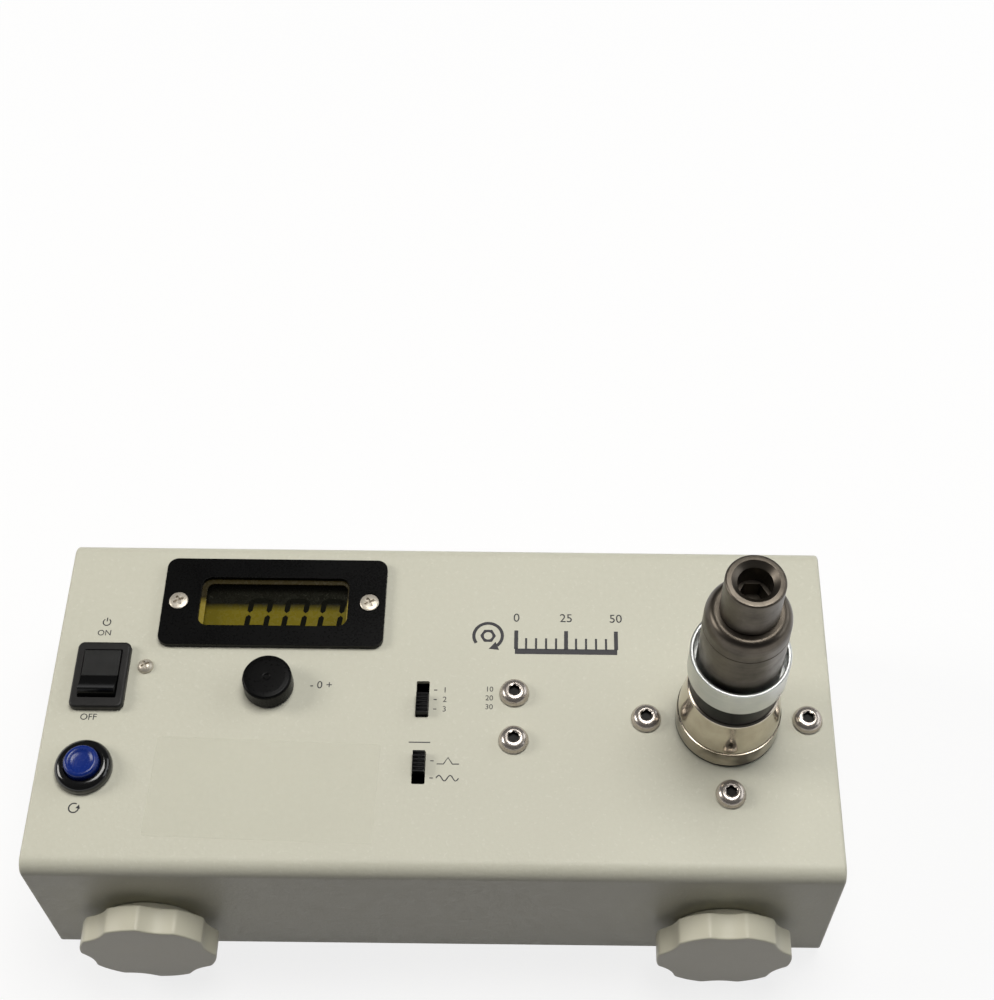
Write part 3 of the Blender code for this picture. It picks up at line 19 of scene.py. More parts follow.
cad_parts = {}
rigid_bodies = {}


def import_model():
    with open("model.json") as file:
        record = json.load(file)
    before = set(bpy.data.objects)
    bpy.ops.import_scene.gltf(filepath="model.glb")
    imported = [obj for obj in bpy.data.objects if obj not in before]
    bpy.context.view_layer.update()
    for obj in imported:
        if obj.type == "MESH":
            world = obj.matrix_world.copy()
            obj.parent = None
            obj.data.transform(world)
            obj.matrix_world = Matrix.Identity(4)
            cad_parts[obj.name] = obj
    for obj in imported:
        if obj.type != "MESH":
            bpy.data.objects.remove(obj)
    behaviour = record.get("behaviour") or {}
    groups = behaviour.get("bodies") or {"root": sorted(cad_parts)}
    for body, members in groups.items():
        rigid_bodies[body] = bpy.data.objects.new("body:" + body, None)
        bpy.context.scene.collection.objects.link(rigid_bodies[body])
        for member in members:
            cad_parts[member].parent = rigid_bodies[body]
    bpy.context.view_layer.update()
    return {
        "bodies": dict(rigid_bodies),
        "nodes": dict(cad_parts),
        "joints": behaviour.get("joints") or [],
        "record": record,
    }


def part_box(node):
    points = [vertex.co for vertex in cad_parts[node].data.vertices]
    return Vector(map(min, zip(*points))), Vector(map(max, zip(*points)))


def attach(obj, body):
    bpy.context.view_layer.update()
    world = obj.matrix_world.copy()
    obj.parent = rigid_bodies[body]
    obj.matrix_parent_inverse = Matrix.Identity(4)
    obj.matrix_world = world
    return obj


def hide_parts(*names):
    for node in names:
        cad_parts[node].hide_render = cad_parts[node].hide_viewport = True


LOG = logging.getLogger("torque_meter")
MM = 0.001
WELD = 0.000002
SMOOTH_ANGLE = math.radians(35)
HOUSING = "housing"

Point = tuple[float, float]
Color = tuple[float, float, float]
Size = tuple[float, float]
Material = bpy.types.Material
EdgeTest = Callable[[bmesh.types.BMEdge], bool]


class Sock:
    """One output of a shader node, with the arithmetic that the finishes use."""

    def __init__(self, graph: "Graph", socket: bpy.types.NodeSocket) -> None:
        """Keep the socket and the graph that it belongs to."""
        self.graph = graph
        self.socket = socket

    def _math(self, operation: str, first: object, second: object) -> "Sock":
        """Add a Math node.

        Args:
            operation: the Math node's operation.
            first: the first value or socket.
            second: the second value or socket.

        Returns:
            The node's result.
        """
        return self.graph.node("ShaderNodeMath", {"operation": operation}, {0: first, 1: second})

    def __add__(self, other: object) -> "Sock":
        """Return the sum."""
        return self._math("ADD", self, other)

    __radd__ = __add__

    def __sub__(self, other: object) -> "Sock":
        """Return the difference."""
        return self._math("SUBTRACT", self, other)

    def __rsub__(self, other: object) -> "Sock":
        """Return the difference from a plain number."""
        return self._math("SUBTRACT", other, self)

    def __mul__(self, other: object) -> "Sock":
        """Return the product."""
        return self._math("MULTIPLY", self, other)

    __rmul__ = __mul__

class Graph:
    """A material's node graph with one method that makes any node."""

    def __init__(self, name: str) -> None:
        """Make an empty material with its output node."""
        self.material = bpy.data.materials.new(name)
        self.material.use_nodes = True
        self.tree = self.material.node_tree
        self.tree.nodes.clear()
        self.output = self.tree.nodes.new("ShaderNodeOutputMaterial")

    def node(self, kind: str, settings: dict | None = None, inputs: dict | None = None,
             output: int | str = 0) -> Sock:
        """Make a node.

        Args:
            kind: the node's type.
            settings: attributes that are set before the inputs.
            inputs: socket names or numbers with a value or a Sock each.
            output: which output to return.

        Returns:
            The chosen output.
        """
        item = self.tree.nodes.new(kind)
        for key, value in (settings or {}).items():
            setattr(item, key, value)
        for key, value in (inputs or {}).items():
            if isinstance(value, Sock):
                self.tree.links.new(value.socket, item.inputs[key])
            else:
                item.inputs[key].default_value = value
        return Sock(self, item.outputs[output])

    def place(self) -> Sock:
        """Return the piece's own coordinates, which are the frame's coordinates."""
        return self.node("ShaderNodeTexCoord", output="Object")

    def axis(self, name: str) -> Sock:
        """Return one coordinate of the place."""
        return self.node("ShaderNodeSeparateXYZ", None, {0: self.place()}, name)

    def noise(self, scale: float, detail: float = 3.0, rough: float = 0.5,
              where: Sock | None = None) -> Sock:
        """Return noise of the given scale, in cycles per metre."""
        return self.node("ShaderNodeTexNoise", None,
                         {"Vector": where or self.place(), "Scale": scale, "Detail": detail,
                          "Roughness": rough})

    def stretched(self, factors: tuple[float, float, float]) -> Sock:
        """Return the place with each axis multiplied."""
        return self.node("ShaderNodeMapping", None, {"Vector": self.place(), "Scale": factors})

    def blend(self, factor: Sock | float, first: Sock | Color, second: Sock | Color) -> Sock:
        """Mix two colours by a factor."""
        return self.node("ShaderNodeMix", {"data_type": "RGBA"},
                         {0: factor, 6: self._rgba(first), 7: self._rgba(second)}, 2)

    def range(self, value: Sock, low: float, high: float, start: float, end: float) -> Sock:
        """Map a value from one range to another and hold it at the ends."""
        return self.node("ShaderNodeMapRange", None,
                         {0: value, 1: low, 2: high, 3: start, 4: end})

    def step(self, value: Sock, edge: float, width: float) -> Sock:
        """Rise from 0 to 1 over a width that starts at an edge."""
        return self.range(value, edge, edge + width, 0.0, 1.0)

    def bump(self, height: Sock, strength: float, distance: float) -> Sock:
        """Return a bumped normal."""
        return self.node("ShaderNodeBump", None,
                         {"Height": height, "Strength": strength, "Distance": distance})

    def principled(self, **inputs: object) -> Sock:
        """Return a Principled shader with the named sockets set; _ stands for a space."""
        named = {key.replace("_", " "): self._rgba(value) if "Color" in key else value
                 for key, value in inputs.items()}
        return self.node("ShaderNodeBsdfPrincipled", None, named)

    def finish(self, shader: Sock) -> Material:
        """Link the shader to the output and return the material."""
        self.tree.links.new(shader.socket, self.output.inputs[0])
        return self.material

    @staticmethod
    def _rgba(color: object) -> object:
        """Give a plain colour its alpha."""
        return (*color, 1.0) if isinstance(color, tuple) and len(color) == 3 else color


class Finish:
    """Base of the finishes: a named material whose surface a subclass describes."""

    name: str

    def surface(self, g: Graph) -> Sock:
        """Return the surface."""
        raise NotImplementedError

    def build(self) -> Material:
        """Return the material."""
        g = Graph(self.name)
        return g.finish(self.surface(g))


@dataclass(frozen=True)
class Enamel(Finish):
    """Stove enamel of the case: soft orange peel, pale specks and faint drifts of tone."""

    name: str = "case_enamel"
    color: Color = (0.590, 0.580, 0.475)
    speck: Color = (0.64, 0.63, 0.53)
    roughness: float = 0.46

    def surface(self, g: Graph) -> Sock:
        """Return the surface."""
        drift = g.noise(18.0, 2.0)
        grain = g.noise(750.0, 3.0, 0.6)
        specks = g.noise(1100.0, 1.0, 0.4)
        dark = tuple(channel * 0.97 for channel in self.color)
        tone = g.blend(g.range(drift, 0.35, 0.65, 0.0, 1.0), dark, self.color)
        mottled = g.blend(g.range(grain, 0.35, 0.75, 0.0, 0.4), tone, self.speck)
        mask = g.range(specks, 0.66, 0.72, 0.0, 0.6)
        color = g.blend(mask, mottled, self.speck)
        rough = g.range(grain, 0.3, 0.7, self.roughness - 0.07, self.roughness + 0.08)
        normal = g.bump(g.noise(760.0, 2.0, 0.5) + 0.5 * specks, 0.22, 0.00025)
        return g.principled(Base_Color=color, Roughness=rough, Normal=normal,
                            Specular_IOR_Level=0.35)


@dataclass(frozen=True)
class Moulded(Finish):
    """Moulded plastic: an even tone with fine grain and slight flow marks."""

    name: str
    color: Color
    light: Color
    roughness: float
    grain: float = 0.12
    grain_scale: float = 1400.0
    coat: float = 0.0
    specular: float = 0.5

    def surface(self, g: Graph) -> Sock:
        """Return the surface."""
        flow = g.noise(60.0, 3.0, 0.6)
        fine = g.noise(self.grain_scale, 2.0, 0.6)
        color = g.blend(g.range(flow, 0.3, 0.7, 0.0, 0.6), self.color, self.light)
        rough = g.range(fine + 0.5 * flow, 0.45, 1.05, self.roughness - 0.06,
                        self.roughness + 0.08)
        normal = g.bump(fine, self.grain, 0.00012)
        return g.principled(Base_Color=color, Roughness=rough, Normal=normal,
                            Coat_Weight=self.coat, Coat_Roughness=0.08,
                            Specular_IOR_Level=self.specular)


@dataclass(frozen=True)
class SheenPaintedGloss(Finish):
    """Glossy black of the rocker, rougher behind its crease, where a lighter grey is painted on as
    a sheen.
    """

    crease: float
    name: str = "rocker_gloss"
    color: Color = (0.004, 0.004, 0.004)
    # lighter grey painted behind the crease: a painted sheen
    painted_sheen: Color = (0.028, 0.028, 0.027)

    def surface(self, g: Graph) -> Sock:
        """Return the surface."""
        fine = g.noise(1500.0, 2.0, 0.6)
        cloud = g.noise(220.0, 2.0, 0.5)
        mask = g.step(g.axis("Y"), self.crease, 0.4 * MM)
        fade = g.range(g.axis("Y"), self.crease, self.crease + 8.0 * MM, 1.0, 0.45)
        # painted sheen: lighter grey behind the crease, fading towards the back
        color = g.blend(fade * mask * g.range(cloud, 0.3, 0.7, 0.75, 1.0), self.color, self.painted_sheen)
        rough = g.range(fine, 0.3, 0.7, 0.10, 0.18) + 0.25 * mask
        return g.principled(Base_Color=color, Roughness=rough, Specular_IOR_Level=0.2,
                            Normal=g.bump(fine, 0.04, 0.0001))


@dataclass(frozen=True)
class Turned(Finish):
    """Turned or polished metal: fine lathe lines round a vertical axis and a little tarnish."""

    name: str
    color: Color
    dark: Color
    roughness: float
    lines: float = 0.06
    line_scale: float = 2600.0
    smudge: float = 0.10
    metallic: float = 1.0

    def surface(self, g: Graph) -> Sock:
        """Return the surface."""
        rings = g.noise(1.0, 2.0, 0.6, g.stretched((40.0, 40.0, self.line_scale)))
        cloud = g.noise(140.0, 3.0, 0.6)
        color = g.blend(g.range(cloud + 0.4 * rings, 0.45, 0.95, 0.0, 0.8), self.color, self.dark)
        rough = g.range(cloud, 0.3, 0.75, self.roughness, self.roughness + self.smudge)
        normal = g.bump(rings, self.lines, 0.00006)
        return g.principled(Base_Color=color, Roughness=rough, Normal=normal,
                            Metallic=self.metallic)


@dataclass(frozen=True)
class HubChrome(Finish):
    """Chrome of the hub: bright bell, painted dark reflections on the ring, painted shade in the
    undercut under the collar and a painted shadow line at the ring's foot.
    """

    undercut: tuple[float, float]
    shadow_line: float
    ring: float
    name: str = "hub_chrome"
    color: Color = (0.66, 0.60, 0.50)
    dark: Color = (0.40, 0.35, 0.28)
    # colour of the painted dark reflections on the ring
    painted_dark_reflection: Color = (0.13, 0.11, 0.085)
    # near-black of the painted shade in the undercut and of the painted shadow line
    groove: Color = (0.005, 0.005, 0.006)

    def surface(self, g: Graph) -> Sock:
        """Return the surface."""
        height = g.axis("Z")
        cloud = g.noise(110.0, 3.0, 0.6)
        rings = g.noise(1.0, 2.0, 0.6, g.stretched((30.0, 30.0, 2200.0)))
        tone = g.blend(g.range(cloud, 0.35, 0.75, 0.0, 0.7), self.color, self.dark)
        # painted dark reflections: dark patches on the ring below its top
        patches = g.range(g.noise(95.0, 2.0, 0.5), 0.42, 0.58, 0.15, 1.0)
        lower = 1.0 - g.step(height, self.ring - 0.3 * MM, 0.3 * MM)
        tone = g.blend(patches * lower, tone, self.painted_dark_reflection)
        # painted shade in the undercut under the collar, and a painted shadow line at the hub's
        # foot
        low, high = self.undercut
        mask = g.step(height, low, 0.4 * MM) - g.step(height, high, 0.4 * MM)
        mask = mask + (1.0 - g.step(height, self.shadow_line, 0.15 * MM))
        color = g.blend(mask, tone, self.groove)
        rough = g.range(cloud, 0.3, 0.8, 0.07, 0.2) + 0.2 * mask
        normal = g.bump(rings, 0.05, 0.00005)
        return g.principled(Base_Color=color, Roughness=rough, Normal=normal,
                            Metallic=1.0)


@dataclass(frozen=True)
class ClearPlastic(Finish):
    """Clear acrylic sheet: a thin see-through body with a faint haze."""

    name: str = "window_acrylic"
    tint: Color = (0.95, 0.96, 0.90)
    body: Color = (0.012, 0.012, 0.010)
    clarity: float = 0.90

    def surface(self, g: Graph) -> Sock:
        """Return the surface."""
        haze = g.noise(900.0, 2.0, 0.6)
        rough = g.range(haze, 0.3, 0.7, 0.02, 0.07)
        clear = g.node("ShaderNodeBsdfTransparent", None, {0: (*self.tint, 1.0)})
        glossy = g.principled(Base_Color=self.body, Roughness=rough,
                              Normal=g.bump(haze, 0.02, 0.00005))
        mixed = g.node("ShaderNodeMixShader", None, {0: self.clarity, 1: glossy, 2: clear})
        return mixed


@dataclass(frozen=True)
class LcdGlass(Finish):
    """Reflective LCD cell: olive yellow, darker along the side that the plate shades."""

    edge: float
    depth: float
    name: str = "lcd_olive"
    bright: Color = (0.25, 0.19, 0.014)
    shaded: Color = (0.004, 0.003, 0.0015)

    def surface(self, g: Graph) -> Sock:
        """Return the surface."""
        across = g.axis("Y")
        grain = g.noise(700.0, 2.0, 0.6)
        shade = g.range(across + 0.0006 * grain, self.edge - self.depth,
                        self.edge - 0.7 * self.depth, 0.0, 1.0)
        color = g.blend(shade, self.bright, self.shaded)
        rough = g.range(grain, 0.3, 0.7, 0.22, 0.32)
        return g.principled(Base_Color=color, Roughness=rough, Specular_IOR_Level=0.3,
                            Normal=g.bump(grain, 0.03, 0.00005))


@dataclass(frozen=True)
class Print(Finish):
    """Screen-printed ink: solid tone with slightly thin spots."""

    name: str
    color: Color
    thin: Color

    def surface(self, g: Graph) -> Sock:
        """Return the surface."""
        spots = g.noise(2600.0, 2.0, 0.7)
        color = g.blend(g.range(spots, 0.5, 0.8, 0.0, 0.6), self.color, self.thin)
        return g.principled(Base_Color=color,
                            Roughness=g.range(spots, 0.3, 0.7, 0.45, 0.6))


@dataclass(frozen=True)
class Film(Finish):
    """Clear label film: it lets the enamel through and shines a little more than it."""

    name: str = "label_film"
    tone: Color = (0.80, 0.80, 0.68)
    cover: float = 0.045

    def surface(self, g: Graph) -> Sock:
        """Return the surface."""
        wave = g.noise(90.0, 2.0, 0.5)
        glossy = g.principled(Base_Color=g.blend(g.range(wave, 0.3, 0.7, 0.0, 1.0), self.tone,
                                                 tuple(c * 0.95 for c in self.tone)),
                              Roughness=g.range(wave, 0.3, 0.7, 0.22, 0.32),
                              Normal=g.bump(wave, 0.05, 0.0003))
        clear = g.node("ShaderNodeBsdfTransparent")
        mixed = g.node("ShaderNodeMixShader", None, {0: 1.0 - self.cover, 1: glossy, 2: clear})
        return mixed


@dataclass(frozen=True)
class Laminate(Finish):
    """Circuit board: green lacquer with a faint weave and darker tracks."""

    name: str = "board_lacquer"
    color: Color = (0.02, 0.13, 0.05)
    track: Color = (0.04, 0.20, 0.09)

    def surface(self, g: Graph) -> Sock:
        """Return the surface."""
        tracks = g.node("ShaderNodeTexBrick", None, {"Vector": g.place(), "Scale": 180.0,
                                                     "Mortar Size": 0.06}, "Fac")
        weave = g.noise(1500.0, 2.0, 0.5)
        color = g.blend(tracks, self.color, self.track)
        return g.principled(Base_Color=color,
                            Roughness=g.range(weave, 0.3, 0.7, 0.3, 0.45),
                            Normal=g.bump(tracks + 0.3 * weave, 0.2, 0.00008))


class Axis(Enum):
    """Direction that a prism is raised along, with the turn that takes +Z there."""

    X = Matrix.Rotation(math.radians(90), 3, "Z") @ Matrix.Rotation(math.radians(90), 3, "X")
    FRONT = Matrix.Rotation(math.radians(90), 3, "X")
    Z = Matrix.Identity(3)


class Shape:
    """A mesh under way: each method shapes it with a bmesh operator and returns it."""

    def __init__(self) -> None:
        """Start with an empty mesh."""
        self.bm = bmesh.new()

    def weld(self) -> "Shape":
        """Merge doubles and turn all faces outwards."""
        bmesh.ops.remove_doubles(self.bm, verts=self.bm.verts, dist=WELD)
        bmesh.ops.recalc_face_normals(self.bm, faces=self.bm.faces)
        return self

    def lathe(self, profile: Sequence[Point], steps: int = 96) -> "Shape":
        """Spin a profile round the Z axis.

        Args:
            profile: radius and height of each corner, from one pole to the other or closed.
            steps: how many steps make the full turn.

        Returns:
            The shape.
        """
        chain = [self.bm.verts.new((radius, 0.0, height)) for radius, height in profile]
        edges = [self.bm.edges.new(pair) for pair in zip(chain, chain[1:])]
        bmesh.ops.spin(self.bm, geom=chain + edges, cent=(0, 0, 0), axis=(0, 0, 1),
                       angle=math.tau, steps=steps, use_merge=True)
        return self.weld()

    def prism(self, outline: Sequence[Point], low: float, high: float, corner: float = 0.0,
              segments: int = 8, axis: Axis = Axis.Z) -> "Shape":
        """Raise a flat outline between two levels, in an empty shape.

        Args:
            outline: the corners, anticlockwise.
            low: where it starts.
            high: where it ends.
            corner: radius that rounds each corner of the outline.
            segments: facets of a rounded corner.
            axis: direction that it is raised along.

        Returns:
            The shape.
        """
        corners = [self.bm.verts.new((x, y, low)) for x, y in outline]
        self.bm.faces.new(corners)
        if corner:
            bmesh.ops.bevel(self.bm, geom=corners, offset=corner, segments=segments, profile=0.5,
                            affect="VERTICES", material=-1, clamp_overlap=True)
        raised = bmesh.ops.extrude_face_region(self.bm, geom=self.bm.faces[:])["geom"]
        bmesh.ops.translate(self.bm, verts=[v for v in raised if isinstance(v, bmesh.types.BMVert)],
                            vec=(0, 0, high - low))
        bmesh.ops.rotate(self.bm, verts=self.bm.verts, cent=(0, 0, 0), matrix=axis.value)
        return self.weld()

    def box(self, low: Sequence[float], high: Sequence[float]) -> "Shape":
        """Fill the box between two corners, in an empty shape."""
        size = Vector(high) - Vector(low)
        middle = Matrix.Translation((Vector(high) + Vector(low)) / 2)
        bmesh.ops.create_cube(self.bm, size=1.0, matrix=middle @ Matrix.Diagonal((*size, 1.0)))
        return self

    def soften(self, width: float, segments: int = 3, angle: float = 40.0,
               where: EdgeTest | None = None) -> "Shape":
        """Bevel the sharp edges.

        Args:
            width: how far the bevel reaches from each edge.
            segments: facets of the bevel.
            angle: edges that turn by more degrees than this are bevelled.
            where: a test that picks among those edges.

        Returns:
            The shape.
        """
        sharp = [edge for edge in self.bm.edges
                 if edge.is_manifold and edge.calc_face_angle() > math.radians(angle)
                 and (where is None or where(edge))]
        bmesh.ops.bevel(self.bm, geom=sharp, offset=width, segments=segments, profile=0.5,
                        affect="EDGES", material=-1, clamp_overlap=True)
        return self

    def move(self, x: float = 0.0, y: float = 0.0, z: float = 0.0) -> "Shape":
        """Shift the whole mesh."""
        bmesh.ops.translate(self.bm, verts=self.bm.verts, vec=(x, y, z))
        return self

    def turn(self, degrees: float, axis: str = "Z") -> "Shape":
        """Turn the whole mesh about an axis through the origin."""
        bmesh.ops.rotate(self.bm, verts=self.bm.verts, cent=(0, 0, 0),
                         matrix=Matrix.Rotation(math.radians(degrees), 3, axis))
        return self

    def add(self, other: "Shape") -> "Shape":
        """Take in another shape's mesh as loose parts."""
        mesh = other.release("joined")
        self.bm.from_mesh(mesh)
        bpy.data.meshes.remove(mesh)
        return self

    def release(self, name: str) -> bpy.types.Mesh:
        """Write the mesh out and free the shape."""
        mesh = bpy.data.meshes.new(name)
        self.bm.to_mesh(mesh)
        self.bm.free()
        return mesh

    def combine(self, other: "Shape", operation: str) -> "Shape":
        """Join, cut or intersect with another shape by an exact Boolean.

        Args:
            other: the shape that is used up.
            operation: UNION, DIFFERENCE or INTERSECT.

        Returns:
            The shape.
        """
        scene = bpy.context.scene.collection.objects
        bodies = [bpy.data.objects.new(label, shape.release(label))
                  for label, shape in (("target", self), ("tool", other))]
        for body in bodies:
            scene.link(body)
        modifier = bodies[0].modifiers.new("combine", "BOOLEAN")
        modifier.solver = "EXACT"
        modifier.operation = operation
        modifier.object = bodies[1]
        graph = bpy.context.evaluated_depsgraph_get()
        result = bpy.data.meshes.new_from_object(bodies[0].evaluated_get(graph))
        self.bm = bmesh.new()
        self.bm.from_mesh(result)
        for body in bodies:
            bpy.data.meshes.remove(body.data)
        bpy.data.meshes.remove(result)
        bmesh.ops.remove_doubles(self.bm, verts=self.bm.verts, dist=WELD / 4)
        return self

    def cut(self, other: "Shape") -> "Shape":
        """Cut another shape out of this one."""
        return self.combine(other, "DIFFERENCE")

    def arrayed(self, places: Iterable[Point]) -> "Shape":
        """Repeat the mesh at each place in the plane."""
        mesh = self.release("pattern")
        self.bm = bmesh.new()
        for x, y in places:
            start = len(self.bm.verts)
            self.bm.from_mesh(mesh)
            self.bm.verts.ensure_lookup_table()
            bmesh.ops.translate(self.bm, verts=self.bm.verts[start:], vec=(x, y, 0))
        bpy.data.meshes.remove(mesh)
        return self


def rectangle(width: float, depth: float, centre: Point = (0.0, 0.0)) -> list[Point]:
    """Return the corners of a rectangle, anticlockwise."""
    x, y = centre
    return [(x - width / 2, y - depth / 2), (x + width / 2, y - depth / 2),
            (x + width / 2, y + depth / 2), (x - width / 2, y + depth / 2)]


def polygon(radius: float, sides: int, start: float = 0.0) -> list[Point]:
    """Return the corners of a regular polygon, anticlockwise, from a start in degrees."""
    return [(radius * math.cos(math.radians(start) + math.tau * step / sides),
             radius * math.sin(math.radians(start) + math.tau * step / sides))
            for step in range(sides)]


def arc(centre: Point, radius: float, start: float, end: float, steps: int) -> list[Point]:
    """Return points on an arc between two angles in degrees."""
    turns = [math.radians(start + (end - start) * step / steps) for step in range(steps + 1)]
    return [(centre[0] + radius * math.cos(a), centre[1] + radius * math.sin(a)) for a in turns]


def angles(count: int, step: float, first: int = 0) -> list[float]:
    """Return angles in radians that lie a step in degrees apart."""
    return [math.radians(step * number) for number in range(first, count)]


def hexagon_corner(across: float) -> float:
    """Return how far a hexagon's corners lie from its middle, from its size across flats."""
    return across / 2 / math.cos(math.radians(30))


def above(level: float) -> EdgeTest:
    """Return a test for edges that lie above a level."""
    return lambda edge: all(corner.co.z > level for corner in edge.verts)


def middle(node: str) -> Vector:
    """Return the middle of a frame node's box."""
    low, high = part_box(node)
    return (low + high) / 2


def levels(node: str) -> list[float]:
    """Return the heights between which a frame node lies."""
    return [corner.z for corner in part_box(node)]


def panel_level() -> float:
    """Return the height of the panel."""
    return levels("housing_shell")[1]


def dress(name: str, shape: Shape, material: Material, body: str,
          nodes: Sequence[str]) -> None:
    """Make a finished piece of a shape.

    Args:
        name: the piece's name.
        shape: its mesh, in place.
        material: its finish.
        body: the body that it rides on.
        nodes: the frame nodes that it stands for.
    """
    mesh = shape.release(name)
    mesh.materials.append(material)
    mesh.shade_smooth()
    mesh.set_sharp_from_angle(angle=SMOOTH_ANGLE)
    piece = bpy.data.objects.new(name, mesh)
    bpy.context.scene.collection.objects.link(piece)
    weighted = piece.modifiers.new("face_weights", "WEIGHTED_NORMAL")
    weighted.keep_sharp = True
    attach(piece, body)
    if nodes:
        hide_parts(*nodes)
    LOG.info("%s: %d faces on %s", name, len(mesh.polygons), body)


@dataclass
class Case:
    """Folded steel shell with welded ends, and the feet under its base plate."""

    enamel: Material
    rubber: Material
    wall: float = 1.5 * MM
    fold: float = 4.2 * MM
    seam: float = 0.8 * MM
    lug: Size = (8.0 * MM, 9.0 * MM)
    gap: float = 0.3 * MM
    cutouts: tuple[tuple[str, float, float, float], ...] = (
        ("power_switch_body", 13.6 * MM, 19.6 * MM, 1.0 * MM),
        ("unit_switch_body", 3.6 * MM, 11.0 * MM, 0.4 * MM),
        ("mode_switch_body", 3.6 * MM, 9.6 * MM, 0.4 * MM))
    window_corner: float = 2.8 * MM
    holes: tuple[tuple[str, float], ...] = (
        ("reset_bezel", 6.3 * MM), ("zero_pot_shaft", 3.8 * MM), ("hub", 11.8 * MM),
        ("panel_screw", 1.55 * MM), ("display_screw_left", 1.8 * MM),
        ("display_screw_right", 1.8 * MM), *((f"cell_screw_{n}", 2.3 * MM) for n in range(1, 5)),
        *((f"bracket_screw_{n}", 2.3 * MM) for n in (1, 2)))
    base_hole: Size = (1.8 * MM, 14.0 * MM)
    stud_hole: float = 3.3 * MM
    jack_hole: float = 4.3 * MM
    foot_radii: Size = (8.0 * MM, 7.0 * MM)
    foot_recess: tuple[float, float, float] = (4.2 * MM, 2.2 * MM, 1.8 * MM)

    def build(self) -> None:
        """Build the shell and the four feet."""
        self.low, self.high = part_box("housing_shell")
        dress("case_shell", self.shell(), self.enamel, HOUSING, ("housing_shell",))
        feet = [f"foot_{number}" for number in range(1, 5)]
        dress("rubber_feet", self.foot(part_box(feet[0])[1].z, [middle(n).xy for n in feet]),
              self.rubber, HOUSING, feet)

    def section(self, inset: float) -> list[Point]:
        """Return the fold's section in depth and height, inset from the outer face."""
        front, back = self.low.y + inset, self.high.y - inset
        top, radius = self.high.z - inset, self.fold - inset
        corner = [arc((back - radius, top - radius), radius, 0, 90, 12),
                  arc((front + radius, top - radius), radius, 90, 180, 12)]
        floor = self.low.z - inset
        return [(front, floor), (back, floor)] + corner[0] + corner[1]

    def shell(self) -> Shape:
        """Return the shell with its welded lugs and every hole."""
        inner = (self.low.x + self.wall, self.high.x - self.wall)
        skin = Shape().prism(self.section(0.0), self.low.x, self.high.x, axis=Axis.X)
        raised = above(self.low.z + MM)
        skin.soften(self.seam, 4, 40, lambda edge: raised(edge) or self.upright(edge))
        skin.cut(Shape().prism(self.section(self.wall), *inner, axis=Axis.X))
        skin.combine(self.lugs(), "UNION")
        skin.cut(self.openings())
        return skin

    @staticmethod
    def upright(edge: bmesh.types.BMEdge) -> bool:
        """Tell whether an edge is one of the long upright ones at a welded end."""
        run = edge.verts[1].co - edge.verts[0].co
        return run.length > 40 * MM and abs(run.x) < WELD and abs(run.z) > MM

    def lugs(self) -> Shape:
        """Return the four lugs that take the base screws."""
        size, height = self.lug
        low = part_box("base_plate")[0].z + self.wall + self.gap
        lap = self.wall / 2
        shape = Shape()
        for sx in (-1, 1):
            for sy in (-1, 1):
                wall_x = sx * (self.high.x - self.wall + lap)
                wall_y = (self.high.y if sy > 0 else self.low.y) - sy * (self.wall - lap)
                xs = sorted((wall_x, wall_x - sx * (size + lap)))
                ys = sorted((wall_y, wall_y - sy * (size + lap)))
                shape.add(Shape().box((xs[0], ys[0], low), (xs[1], ys[1], low + height)))
        return shape

    def openings(self) -> Shape:
        """Return the tools for all holes in the panel and the walls."""
        low, high = self.high.z - 2 * self.wall, self.high.z + self.wall
        shape = Shape()
        window_low, window_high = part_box("display_window")
        size = window_high - window_low
        shape.add(Shape().prism(rectangle(size.x + 2 * self.gap, size.y + 2 * self.gap,
                                          middle("display_window").xy), low, high,
                                self.window_corner))
        for node, width, length, corner in self.cutouts:
            shape.add(Shape().prism(rectangle(width, length, middle(node).xy), low, high, corner))
        for node, radius in self.holes:
            shape.add(Shape().prism(polygon(radius, 48), low, high).move(*middle(node).xy))
        radius, depth = self.base_hole
        for number in range(1, 5):
            shape.add(Shape().prism(polygon(radius, 24), self.low.z, self.low.z + depth)
                      .move(*middle(f"base_screw_{number}").xy))
        for node, radius, wall, span in (
                ("clamp_stud_left", self.stud_hole, self.low.y, (-2 * self.wall, self.wall)),
                ("clamp_stud_right", self.stud_hole, self.low.y, (-2 * self.wall, self.wall)),
                ("charging_jack", self.jack_hole, self.high.y, (-self.wall, 2 * self.wall))):
            spot = middle(node)
            shape.add(Shape().prism(polygon(radius, 32), *span, axis=Axis.FRONT)
                      .move(spot.x, wall, spot.z))
        return shape

    def foot(self, top: float, places: list[Vector]) -> Shape:
        """Return the turned feet with the recess for their screws."""
        (wide, narrow), (recess, floor, bore) = self.foot_radii, self.foot_recess
        profile = [(bore, top), (wide, top), (narrow, 0), (recess, 0), (recess, floor),
                   (bore, floor), (bore, top)]
        return Shape().lathe(profile, 64).soften(0.35 * MM, 3).arrayed(places)


